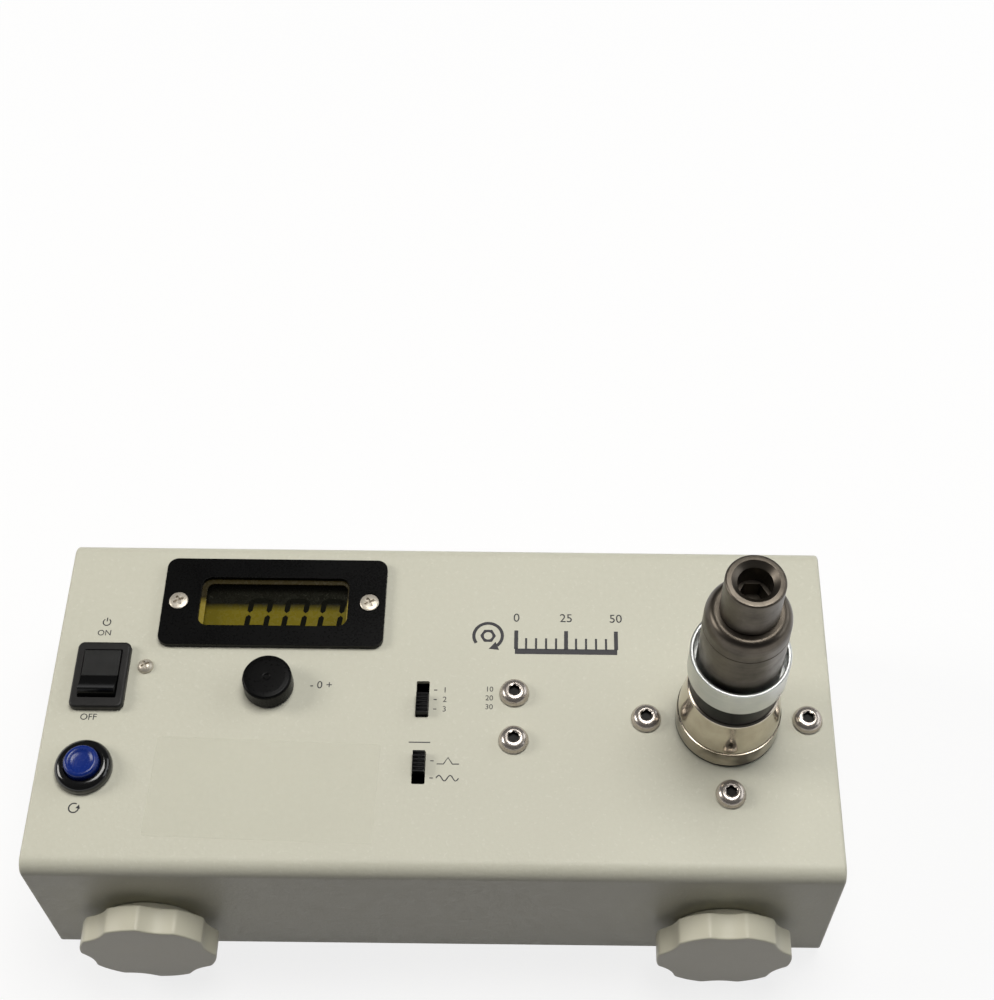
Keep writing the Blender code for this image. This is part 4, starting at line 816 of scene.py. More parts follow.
@dataclass
class Display:
    """Black plate with its window, the LCD behind it and two Phillips screws."""

    plate: Material
    glass: Material
    segment: Material
    rim_painted_light: Material
    nickel: Material
    corner: float = 3.0 * MM
    window: Size = (42.0 * MM, 15.5 * MM)
    window_corner: float = 2.8 * MM
    rim: Size = (1.45 * MM, 0.55 * MM)
    rim_shift: float = 0.5 * MM
    head: Size = (2.65 * MM, 1.0 * MM)
    screw_hole: float = 1.8 * MM
    screw_shank: float = 1.5 * MM
    ink: Size = (0.02 * MM, 0.05 * MM)
    digit_height: float = 10.2 * MM
    digit_lefts: tuple[float, ...] = (-56.9 * MM, -46.4 * MM, -36.2 * MM)
    digit_width: float = 6.9 * MM
    digit_drop: float = 6.8 * MM
    parting: float = 0.35 * MM
    stroke: float = 1.5 * MM
    slant: float = 0.11

    def build(self) -> None:
        """Build the plate, the window, the digits and the screws."""
        self.low, self.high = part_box("display_plate")
        self.centre = middle("display_plate")
        self.digit_foot = self.centre.y - self.digit_drop
        screws = ("display_screw_left", "display_screw_right")
        self.spots = [middle(node).xy for node in screws]
        dress("display_frame", self.frame(), self.plate, HOUSING, ("display_plate",))
        dress("window_pane", self.pane(), self.glass, HOUSING, ("display_window",))
        # the rim's colour is painted light of the LCD, with painted shade towards the back
        dress("window_rim", self.rim_shape(), self.rim_painted_light, HOUSING, ())
        dress("lcd_digits", self.digits(), self.segment, HOUSING, ())
        dress("display_screws", self.screws(), self.nickel, HOUSING, screws)

    def frame(self) -> Shape:
        """Return the plate with a bevelled window and countersunk holes."""
        size = self.high - self.low
        shape = Shape().prism(rectangle(size.x, size.y, self.centre.xy), self.low.z, self.high.z,
                              self.corner, 12)
        over = (self.low.z - MM, self.high.z + MM)
        shape.cut(Shape().prism(rectangle(*self.window, self.centre.xy), *over,
                                self.window_corner, 12))
        radius, depth = self.head
        sink = [(0, over[1]), (radius + 0.3 * MM, over[1]), (radius + 0.3 * MM, self.high.z),
                (self.screw_hole, self.high.z - depth), (self.screw_hole, over[0]),
                (0, over[0])]
        shape.cut(Shape().lathe(sink, 48).arrayed(self.spots))
        return shape.soften(0.22 * MM, 3, 50, above(self.high.z - WELD))

    def pane(self) -> Shape:
        """Return the clear pane behind the plate."""
        low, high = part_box("display_window")
        size = high - low
        return Shape().prism(rectangle(size.x, size.y, self.centre.xy), low.z, high.z,
                             self.window_corner, 10).soften(0.1 * MM, 2)

    def rim_shape(self) -> Shape:
        """Return the chamfered rim that shows inside the window at its sides and back."""
        x, y = self.centre.xy
        (width, depth), (inset, rise) = self.window, self.rim
        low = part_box("display_window")[1].z + 0.02 * MM
        shape = Shape().prism(rectangle(width - 0.04 * MM, depth - 0.04 * MM, (x, y)), low,
                              low + rise, self.window_corner, 12)
        half = width / 2 - inset + self.rim_shift
        x += self.rim_shift
        shape.cut(Shape().prism(rectangle(2 * half, depth, (x, y - inset)), low - MM,
                                low + rise + MM, 1.8 * MM, 8))
        return shape.soften(rise * 0.9, 1, 60, lambda edge: all(
            v.co.z > low + rise - WELD and abs(v.co.x - x) < half + WELD
            and v.co.y < y + depth / 2 - inset + WELD for v in edge.verts))

    def digits(self) -> Shape:
        """Return the zeros of the LCD as slanted bars just above its glass."""
        shape = Shape()
        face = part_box("lcd_cell")[1].z
        half = self.digit_height / 2
        for left in self.digit_lefts:
            for column in (0, 1):
                for row in (0, 1):
                    x = left + column * (self.digit_width - self.stroke)
                    shape.add(self.bar(x, self.digit_foot + row * half + self.parting,
                                       half - 2 * self.parting, face))
            for row in (0, 2):
                y = self.digit_foot + row * (half - self.stroke / 2)
                shape.add(self.flat_bar(left, y, face))
        return shape

    def bar(self, x: float, y: float, length: float, face: float) -> Shape:
        """Return one upright segment with pointed ends, leaning to the right."""
        w, tip = self.stroke, self.stroke * 0.45
        outline = [(x, y + tip), (x + w / 2, y), (x + w, y + tip), (x + w, y + length - tip),
                   (x + w / 2, y + length), (x, y + length - tip)]
        return self.inked(outline, face)

    def flat_bar(self, left: float, y: float, face: float) -> Shape:
        """Return one level segment between the uprights."""
        w, inset = self.stroke, self.stroke * 0.55
        right = left + self.digit_width
        tips, ends = (left + inset, right - inset), (left + 2 * inset, right - 2 * inset)
        outline = [(tips[0], y + w / 2), (ends[0], y), (ends[1], y), (tips[1], y + w / 2),
                   (ends[1], y + w), (ends[0], y + w)]
        return self.inked(outline, face)

    def inked(self, outline: Sequence[Point], face: float) -> Shape:
        """Return a leaning outline as a thin dark layer on the cell."""
        low, high = self.ink
        return Shape().prism([self.lean(point) for point in outline], face + low, face + high)

    def lean(self, point: Point) -> Point:
        """Slant a point of a digit to the right of its foot."""
        return (point[0] + self.slant * (point[1] - self.digit_foot), point[1])

    def screws(self) -> Shape:
        """Return the two countersunk screws with cross recesses."""
        low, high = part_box("display_screw_left")
        return cross_screw(self.head[0], self.head[1], high.z - self.high.z, self.screw_shank,
                           self.high.z - low.z).move(z=self.high.z).arrayed(self.spots)


def cross_screw(radius: float, cone: float, crown: float, shank: float, length: float) -> Shape:
    """Return a countersunk screw with a cross recess, its rim at height zero.

    Args:
        radius: radius of the head.
        cone: depth of the cone under the head.
        crown: height of the head's crown.
        shank: radius of the shank.
        length: depth of the whole screw.

    Returns:
        The screw.
    """
    dome = [(radius * math.sin(a), crown * math.cos(a) ** 1.2)
            for a in angles(6, 15)]
    shape = Shape().lathe(dome + [(radius, 0), (radius, -0.12 * MM), (shank, -cone),
                                  (shank, -length), (0, -length)], 64)
    wing, arm, deep = radius * 0.28, radius * 1.15, 0.9 * MM
    for outline, share in ((rectangle(arm, wing), 1.0), (rectangle(wing, arm), 1.0),
                           (polygon(wing * 0.9, 16), 1.15)):
        shape.cut(Shape().prism(outline, crown - deep * share, crown + MM).turn(28))
    return shape


@dataclass
class PowerSwitch:
    """Snap-in rocker switch: bezel with its body and terminals, and the glossy rocker."""

    plastic: Material
    gloss: Material
    bezel: Size = (14.7 * MM, 20.2 * MM)
    bezel_shift: float = 0.2 * MM
    bezel_corner: float = 1.8 * MM
    body: Size = (13.0 * MM, 19.0 * MM)
    terminal: tuple[float, float, float, float] = (4.8 * MM, 7.0 * MM, 0.8 * MM, 7.0 * MM)
    width: float = 10.0 * MM
    sag: float = 0.22 * MM
    reach: Size = (6.75 * MM, 7.5 * MM)
    end_height: float = 3.3 * MM
    crease: Point = (-1.0 * MM, 1.9 * MM)
    bottom: Size = (3.6 * MM, 4.0 * MM)
    tilt: float = 8.0
    pivot_depth: float = 1.6 * MM
    gap: float = 0.3 * MM

    def build(self) -> None:
        """Build the switch body and the rocker."""
        self.centre = middle("power_switch_body")
        low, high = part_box("power_switch_body")
        self.top, self.low = high.z, low.z
        self.panel = panel_level()
        dress("switch_bezel", self.bezel_shape(), self.plastic, HOUSING, ("power_switch_body",))
        dress("switch_rocker", self.rocker(), self.gloss, "power_rocker", ("power_rocker",))

    def bezel_shape(self) -> Shape:
        """Return the bezel, the block behind the panel and its three terminals."""
        x, y = self.centre.xy
        shape = Shape().prism(rectangle(*self.bezel, (0.0, self.bezel_shift)),
                              self.panel + self.gap, self.top, self.bezel_corner, 10)
        shape.soften(0.7 * MM, 5, 60, above(self.top - WELD))
        body_low = self.low + self.terminal[1]
        shape.combine(Shape().prism(rectangle(*self.body), body_low,
                                    self.panel + self.gap + 0.5 * MM, MM, 4), "UNION")
        pivot = self.top - self.pivot_depth
        front, back = self.reach
        well = rectangle(self.width + 2 * self.gap, front + back + 2 * self.gap,
                         (0.0, (back - front) / 2))
        shape.cut(Shape().prism(well, pivot - self.bottom[1] - MM, self.top + MM, 0.4 * MM, 5))
        wide, _, thick, pitch = self.terminal
        for y_mid in (-pitch, 0.0, pitch):
            shape.add(Shape().box((-wide / 2, y_mid - thick / 2, self.low),
                                  (wide / 2, y_mid + thick / 2, body_low - 0.01 * MM)))
        return shape.move(x, y)

    def rocker(self) -> Shape:
        """Return the rocker with two hollow faces that meet in a soft crease."""
        front, back = self.reach
        sides = [math.sqrt(reach ** 2 - self.end_height ** 2) for reach in self.reach]
        rises = [math.degrees(math.asin(self.end_height / reach)) for reach in self.reach]
        faces = []
        for start, end in (((-sides[0], self.end_height), self.crease),
                           (self.crease, (sides[1], self.end_height))):
            for step in range(10):
                share = step / 10
                sag = self.sag * math.sin(math.pi * share)
                faces.append((start[0] + (end[0] - start[0]) * share,
                              start[1] + (end[1] - start[1]) * share - sag))
        outline = faces + arc((0, 0), back, rises[1], -24, 14)
        outline += [(self.bottom[0], -self.bottom[1]), (-self.bottom[0], -self.bottom[1])]
        outline += arc((0, 0), front, 204, 180 - rises[0], 14)[:-1]
        shape = Shape().prism(outline[::-1], -self.width / 2, self.width / 2, axis=Axis.X)
        shape.soften(0.3 * MM, 3, 30, above(0.0)).turn(-self.tilt, "X")
        return shape.move(self.centre.x, self.centre.y, self.top - self.pivot_depth)


@dataclass
class ResetButton:
    """Round push button: domed glossy bezel with its barrel, and the dished cap."""

    gloss: Material
    blue: Material
    bezel_radius: float = 7.65 * MM
    barrel_radius: float = 6.0 * MM
    cap_radius: float = 4.65 * MM
    dome: Size = (2.2 * MM, 2.1 * MM)
    mouth: float = 0.35 * MM
    barrel_floor: float = 1.5 * MM
    dish: float = 0.55 * MM
    rim_drop: float = 0.9 * MM
    gap: float = 0.3 * MM

    def build(self) -> None:
        """Build the bezel and the cap."""
        place = middle("reset_bezel")
        low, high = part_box("reset_bezel")
        cap_low, cap_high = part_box("reset_cap")
        panel = panel_level()
        dress("button_bezel", self.bezel(low.z, high.z, panel).move(place.x, place.y),
              self.gloss, HOUSING, ("reset_bezel",))
        dress("button_cap", self.cap(cap_low.z, cap_high.z).move(place.x, place.y),
              self.blue, "reset_cap", ("reset_cap",))

    def bezel(self, low: float, top: float, panel: float) -> Shape:
        """Return the bezel and barrel round the cap's bore."""
        bore, wide = self.cap_radius + self.gap, self.bezel_radius
        reach, drop = self.dome
        mouth, floor = self.mouth, low + self.barrel_floor
        profile = [(0, floor), (bore, floor), (bore, top - mouth)]
        profile += [(bore + mouth - mouth * math.cos(a), top - mouth + mouth * math.sin(a))
                    for a in angles(3, 30, 1)]
        profile += [(wide - reach + reach * math.sin(a), top - drop * (1 - math.cos(a)))
                    for a in angles(13, 7.5)]
        profile += [(wide, panel + self.gap), (self.barrel_radius, panel + self.gap),
                    (self.barrel_radius, low), (0, low)]
        return Shape().lathe(profile, 96)

    def cap(self, low: float, top: float) -> Shape:
        """Return the cap with its hollow, the ring round it and the rounded rim."""
        radius, dish = self.cap_radius, self.dish
        profile = [(radius * share, top - dish * depth) for share, depth in (
            (0, 1), (0.3, 0.97), (0.52, 0.86), (0.6, 0.62), (0.68, 0.18), (0.76, 0))]
        profile += [(radius * (0.8 + 0.2 * math.sin(a)), top - self.rim_drop * (1 - math.cos(a)))
                    for a in angles(7, 15)]
        profile += [(radius, low), (0, low)]
        return Shape().lathe(profile, 96)


@dataclass
class ZeroControl:
    """Zero knob: plain black cap with a centre dot and a shallow ring."""

    plastic: Material
    radius: float = 6.85 * MM
    wall: float = 0.9 * MM
    skirt: float = 3.0 * MM
    dot: float = 0.8 * MM
    bore: float = 2.3 * MM
    rim: float = 0.8 * MM

    def build(self) -> None:
        """Build the knob."""
        low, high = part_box("zero_knob")
        place = middle("zero_knob")
        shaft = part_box("zero_pot_shaft")[1].z
        wide, top = self.radius, high.z
        ceiling, bore = low.z + self.skirt, self.bore
        profile = [(0, top - 0.3 * MM), (self.dot * 0.8, top - 0.3 * MM),
                   (self.dot, top - 0.18 * MM), (self.dot + 0.15 * MM, top - 0.05 * MM),
                   (self.dot + 0.4 * MM, top), (wide * 0.72, top), (wide * 0.76, top - 0.05 * MM)]
        profile += [(wide - 0.9 * MM + self.rim * math.sin(a),
                     top - 0.05 * MM - self.rim * (1 - math.cos(a))) for a in angles(7, 15)]
        profile += [(wide, low.z + 0.3 * MM), (wide - 0.1 * MM, low.z),
                    (wide - self.wall, low.z), (wide - self.wall, ceiling), (bore, ceiling),
                    (bore, shaft + 0.3 * MM), (0, shaft + 0.3 * MM)]
        dress("zero_cap", Shape().lathe(profile, 96).move(place.x, place.y), self.plastic,
              "zero_knob", ("zero_knob",))


@dataclass
class Selectors:
    """Ribbed slide levers of the two selectors, each with its foot in the channel."""

    plastic: Material
    width: float = 3.3 * MM
    length: float = 4.2 * MM
    overhang: float = 2.0 * MM
    clearance: float = 0.25 * MM
    ribs: int = 6
    rib_depth: float = 0.22 * MM
    stem: float = 2.8 * MM
    foot: Size = (4.8 * MM, 3.0 * MM)

    def build(self) -> None:
        """Build both levers; their caps reach out towards the middle of the travel."""
        panel = panel_level()
        for body, side in (("unit_lever", 1.0), ("mode_lever", -1.0)):
            low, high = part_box(body)
            place = middle(body)
            shape = self.lever(low.z, panel + self.clearance, high.z, side)
            dress(f"{body}_ribbed", shape.move(place.x, place.y), self.plastic, body, (body,))

    def lever(self, low: float, sill: float, top: float, side: float) -> Shape:
        """Return a lever: foot and stem in the channel, and a ribbed cap over the panel.

        Args:
            low: underside of the foot.
            sill: underside of the cap.
            top: top of the cap.
            side: 1 where the cap reaches out to the back and -1 to the front.

        Returns:
            The lever.
        """
        half, reach = self.length / 2, self.length + self.overhang
        front = -half if side > 0 else -half - self.overhang
        pitch = reach / (2 * self.ribs - 1)
        outline = [(front, sill), (front + reach, sill)]
        for rib in range(self.ribs):
            right = front + reach - 2 * rib * pitch
            outline += [(right, top), (right - pitch, top)]
            if rib < self.ribs - 1:
                outline += [(right - pitch * 1.25, top - self.rib_depth),
                            (right - pitch * 1.75, top - self.rib_depth)]
        shape = Shape().prism(outline, -self.width / 2, self.width / 2, axis=Axis.X)
        for wide, level in ((self.stem, sill + self.rib_depth), (self.foot[0], low + self.foot[1])):
            shape.combine(Shape().box((-wide / 2, -half, low), (wide / 2, half, level)), "UNION")
        return shape.soften(0.1 * MM, 2, 40)


@dataclass
class PanelScrews:
    """Stainless button-head screws of the cell and the bracket, and the small pan head."""

    steel: Material
    nickel: Material
    shadow: Material
    head: Size = (4.1 * MM, 2.4 * MM)
    socket: Size = (2.95 * MM, 1.7 * MM)
    shank: Size = (2.0 * MM, 9.0 * MM)
    pan: tuple[float, ...] = (2.2 * MM, 0.3 * MM, 1.3 * MM, 1.25 * MM, 7.0 * MM)

    def build(self) -> None:
        """Build the six button heads and the pan head."""
        nodes = [f"cell_screw_{n}" for n in range(1, 5)] + ["bracket_screw_1", "bracket_screw_2"]
        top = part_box(nodes[0])[1].z
        seat = top - self.head[1]
        spots = [middle(node).xy for node in nodes]
        dress("button_head_screws", self.button().move(z=seat).arrayed(spots), self.steel,
              HOUSING, nodes)
        # a dark lining in each socket: painted shade
        dress("hexagon_sockets", self.cup().move(z=seat).arrayed(spots), self.shadow, HOUSING,
              ())
        crown = self.pan[2]
        pan = cross_screw(*self.pan).move(*middle("panel_screw").xy,
                                          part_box("panel_screw")[1].z - crown)
        dress("pan_head_screw", pan, self.nickel, HOUSING, ("panel_screw",))

    def cup(self) -> Shape:
        """Return the dark lining of one hexagon socket, a sheet of painted shade."""
        across, depth = self.socket
        corner, top = hexagon_corner(across), self.head[1] - 0.4 * MM
        lining = Shape().prism(polygon(corner - 0.01 * MM, 6, 30), self.head[1] - depth, top)
        return lining.cut(Shape().prism(polygon(corner - 0.06 * MM, 6, 30),
                                        self.head[1] - depth + 0.05 * MM, top + MM))

    def button(self) -> Shape:
        """Return one screw with its dome, its flat and its hexagon socket."""
        wide, high = self.head
        flat = self.socket[0] * 0.66
        dome = [(flat + (wide - 0.12 * MM - flat) * math.sin(a), high * math.cos(a) ** 0.8)
                for a in angles(12, 7.5)]
        shape = Shape().lathe([(0, high)] + dome + [(wide, 0.25 * MM), (wide - 0.1 * MM, 0),
                                                    (self.shank[0], 0),
                                                    (self.shank[0], -self.shank[1]),
                                                    (0, -self.shank[1])], 72)
        across, depth = self.socket
        corner = hexagon_corner(across)
        shape.cut(Shape().prism(polygon(corner, 6, 30), high - depth, high + MM))
        lead = [(0, high + MM), (corner * 1.12 + MM, high + MM), (corner * 1.12, high),
                (corner * 0.9, high - 0.25 * MM), (0, high - 0.25 * MM)]
        return shape.cut(Shape().lathe(lead, 48)).soften(0.06 * MM, 2, 55)


@dataclass
class Clamps:
    """Two lobed clamp knobs on the front, each with its boss and the bore for its stud."""

    plastic: Material
    radius: float = 18.3 * MM
    grip: float = 7.1 * MM
    boss: Size = (12.6 * MM, 2.8 * MM)
    lobes: int = 6
    notch: Size = (31.0, 1.6 * MM)
    blur: float = 1.6
    edge: float = 0.5 * MM
    stud: Size = (3.3 * MM, 5.0 * MM)
    turns: tuple[tuple[str, float], ...] = (("left", -15.0), ("right", 1.0))

    def build(self) -> None:
        """Build both knobs."""
        for side, turn in self.turns:
            node = f"clamp_knob_{side}"
            place = middle(node)
            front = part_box(node)[0].y
            knob = self.knob(turn).move(place.x, front, place.z)
            dress(f"clamp_grip_{side}", knob, self.plastic, f"clamp_{side}", (node,))

    def knob(self, turn: float) -> Shape:
        """Return a knob whose front face is at zero and which reaches back along +Y."""
        shape = Shape().prism(self.outline(turn), -self.grip, 0.0, axis=Axis.FRONT)
        shape.soften(self.edge, 5, 60)
        boss = Shape().prism(polygon(self.boss[0], 64), -self.grip - self.boss[1],
                             -self.grip + MM, axis=Axis.FRONT)
        shape.combine(boss, "UNION")
        bore, depth = self.stud
        return shape.cut(Shape().prism(polygon(bore, 32), -self.grip - self.boss[1] - MM,
                                       -self.grip + depth, axis=Axis.FRONT))

    def outline(self, turn: float) -> list[Point]:
        """Return the grip's outline: round lobes with a soft hollow between each two."""
        pitch, steps = 360 / self.lobes, 60
        points = []
        for step in range(self.lobes * steps):
            swing = pitch * step / steps
            near = [self.hollow((swing + shift * self.blur + pitch / 2) % pitch - pitch / 2)
                    for shift in (-1.0, -0.5, 0.0, 0.5, 1.0)]
            reach = self.radius - sum(near) / len(near)
            angle = math.radians(90 + turn + swing)
            points.append((reach * math.cos(angle), reach * math.sin(angle)))
        return points

    def hollow(self, swing: float) -> float:
        """Return how deep the hollow is at an angle from its middle."""
        share = 2 * swing / self.notch[0]
        return self.notch[1] * max(0.0, 1.0 - share ** 2)


@dataclass
class HubStack:
    """Chrome hub, its satin collar and the joint adapter that stands in it."""

    chrome: Material
    satin: Material
    oxide: Material
    spindle_oxide: Material
    ring: Size = (14.1 * MM, 7.4 * MM)
    bell: Size = (13.8 * MM, 20.5 * MM)
    neck: Size = (12.0 * MM, 27.7 * MM)
    shank: float = 11.5 * MM
    pocket: tuple[float, float, float] = (17.6 * MM, 7.0 * MM, 20.0 * MM)
    bore: float = 10.0 * MM
    collar: Size = (13.05 * MM, 12.0 * MM)
    collar_floor: float = 3.0 * MM
    collar_lift: float = 1.3 * MM
    body: Size = (11.05 * MM, 8.3 * MM)
    shoulder: float = 56.2 * MM
    spigot: float = 9.6 * MM
    core: float = 7.6 * MM
    socket: float = 22.0 * MM
    drive: Size = (6.6 * MM, 5.0 * MM)
    spindle: float = 7.5 * MM
    stem: float = 4.0 * MM
    recess: tuple[float, float, float] = (5.9 * MM, 4.4 * MM, 7.0 * MM)
    gap: float = 0.3 * MM

    def build(self) -> None:
        """Build the four turned pieces."""
        self.panel = panel_level()
        place = middle("hub")
        for name, shape, finish, body, node, slot in (
                ("hub_turned", self.hub_shape(), self.chrome, HOUSING, "hub", "hub_chrome"),
                ("collar_turned", self.collar_shape(), self.satin, HOUSING, "hub_collar",
                 "collar_satin"),
                ("adapter_turned", self.adapter_shape(), self.oxide, HOUSING, "adapter_body",
                 "adapter_oxide"),
                ("spindle_turned", self.spindle_shape(), self.spindle_oxide, "spindle",
                 "adapter_spindle", "adapter_oxide")):
            dress(name, shape.move(place.x, place.y), finish, body, (node,))

    def hub_shape(self) -> Shape:
        """Return the hub: shank, ring with its groove, waisted bell and neck."""
        low, high = levels("hub")
        panel, (wide, rise), (bell, top) = self.panel, self.ring, self.bell
        edge = 0.4 * MM
        lip = self.neck[0] + 0.4 * MM
        profile = [(0, low), (self.shank, low), (self.shank, panel + self.gap),
                   (wide - edge, panel + self.gap), (wide - 0.1 * MM, panel + self.gap + 0.1 * MM),
                   (wide, panel + self.gap + edge), (wide, panel + rise - edge),
                   (wide - 0.1 * MM, panel + rise - 0.1 * MM),
                   (wide - edge, panel + rise - 0.05 * MM),
                   (bell - 0.35 * MM, panel + rise), (bell - 0.35 * MM, panel + rise + 0.25 * MM),
                   (bell - 0.05 * MM, panel + rise + 0.4 * MM)]
        for step in range(1, 25):
            share = step / 24
            flare = 0.5 * (1.0 - share) + 0.25 * (1.0 + math.cos(math.pi * share))
            profile.append((lip + (bell - lip) * flare,
                            panel + rise + 0.4 * MM + (top - rise - 0.8 * MM) * share))
        profile += [(lip - 0.1 * MM, panel + top - 0.15 * MM), (lip - 0.3 * MM, panel + top),
                    (self.neck[0] - self.gap, panel + top + self.gap),
                    (self.neck[0] - self.gap, high), (self.bore, high),
                    (self.bore, panel + self.pocket[2]), (0, panel + self.pocket[2])]
        shape = Shape().lathe(profile, 128)
        return shape.cut(Shape().prism(polygon(hexagon_corner(self.pocket[0]), 6),
                                       panel + self.pocket[1],
                                       panel + self.pocket[2] + MM))

    def collar_shape(self) -> Shape:
        """Return the collar as a closed ring with eased rims."""
        low, high = levels("hub_collar")
        low += self.collar_lift
        (wide, bore), edge = self.collar, 0.35 * MM
        profile = [(self.bore, low), (wide - edge, low), (wide - edge * 0.3, low + edge * 0.3),
                   (wide, low + edge), (wide, high - edge), (wide - edge * 0.3, high - edge * 0.3),
                   (wide - edge, high), (bore + 0.25 * MM, high), (bore + 0.07 * MM,
                                                                   high - 0.07 * MM),
                   (bore, high - 0.25 * MM), (bore, low + self.collar_floor - self.collar_lift),
                   (self.bore, low + self.collar_floor - self.collar_lift), (self.bore, low)]
        return Shape().lathe(profile, 128)

    def adapter_shape(self) -> Shape:
        """Return the adapter: hexagon foot, spigot, straight body and rounded shoulder."""
        low, high = levels("adapter_body")
        collar_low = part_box("hub_collar")[0].z
        seat = collar_low + self.collar_floor + self.gap
        hex_top = self.panel + self.pocket[2] + self.gap
        (wide, top), edge, bore = self.body, 0.5 * MM, self.stem + self.gap
        shoulder = self.panel + self.shoulder
        profile = [(0, low + 0.5 * MM), (self.core, low + 0.5 * MM), (self.core, hex_top),
                   (self.spigot, hex_top), (self.spigot, seat), (wide - edge, seat),
                   (wide - edge * 0.3, seat + edge * 0.3), (wide, seat + edge),
                   (wide, shoulder - 3.2 * MM), (wide - 0.12 * MM, shoulder - 3.05 * MM),
                   (wide - 0.12 * MM, shoulder - 2.85 * MM), (wide, shoulder - 2.7 * MM),
                   (wide, shoulder)]
        rise = high - shoulder
        profile += [(top + (wide - top) * math.cos(a) ** 0.9, shoulder + rise * math.sin(a))
                    for a in angles(13, 7.5, 1)]
        floor = high - self.socket
        profile += [(bore, high), (bore, floor), (0, floor)]
        corner = hexagon_corner(self.pocket[0] - 2 * self.gap)
        foot = Shape().prism(polygon(corner, 6), low, hex_top)
        return Shape().lathe(profile, 128).combine(foot, "UNION")

    def spindle_shape(self) -> Shape:
        """Return the spindle with its chamfered mouth, round recess and hexagon drive."""
        low, high = levels("adapter_spindle")
        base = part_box("adapter_body")[1].z + self.gap
        wide, (mouth, recess, depth), edge = self.spindle, self.recess, 0.6 * MM
        profile = [(0, low), (self.stem, low), (self.stem, base), (wide - 0.3 * MM, base),
                   (wide, base + 0.3 * MM), (wide, high - edge)]
        profile += [(wide - edge + edge * math.cos(a), high - edge + edge * math.sin(a))
                    for a in angles(7, 15, 1)]
        profile += [(mouth, high), (recess, high - 1.2 * MM), (recess, high - depth),
                    (0, high - depth)]
        across, deep = self.drive
        return Shape().lathe(profile, 96).cut(Shape().prism(
            polygon(hexagon_corner(across), 6), high - depth - deep, high - depth + MM))


@dataclass
class ChargingJack:
    """Charging socket in the back wall with its contact pin."""

    plastic: Material
    flange: Size = (5.5 * MM, 2.0 * MM)
    barrel: Size = (4.0 * MM, 15.0 * MM)
    bore: Size = (2.8 * MM, 10.0 * MM)
    pin: float = 1.0 * MM

    def build(self) -> None:
        """Build the socket."""
        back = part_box("charging_jack")[1].y
        place = middle("charging_jack")
        wall = back - self.flange[1]
        (wide, thick), (barrel, length), (bore, deep) = self.flange, self.barrel, self.bore
        profile = [(0, -MM), (self.pin * 0.6, -MM), (self.pin, -1.3 * MM), (self.pin, -deep),
                   (bore, -deep), (bore, -0.3 * MM), (bore + 0.3 * MM, 0), (wide - 0.5 * MM, 0),
                   (wide - 0.1 * MM, -0.2 * MM), (wide, -0.6 * MM), (wide, -thick),
                   (barrel, -thick), (barrel, wall - back - length), (0, wall - back - length)]
        dress("jack_turned", Shape().lathe(profile, 64).turn(-90, "X").move(
            place.x, back, place.z), self.plastic, HOUSING, ("charging_jack",))


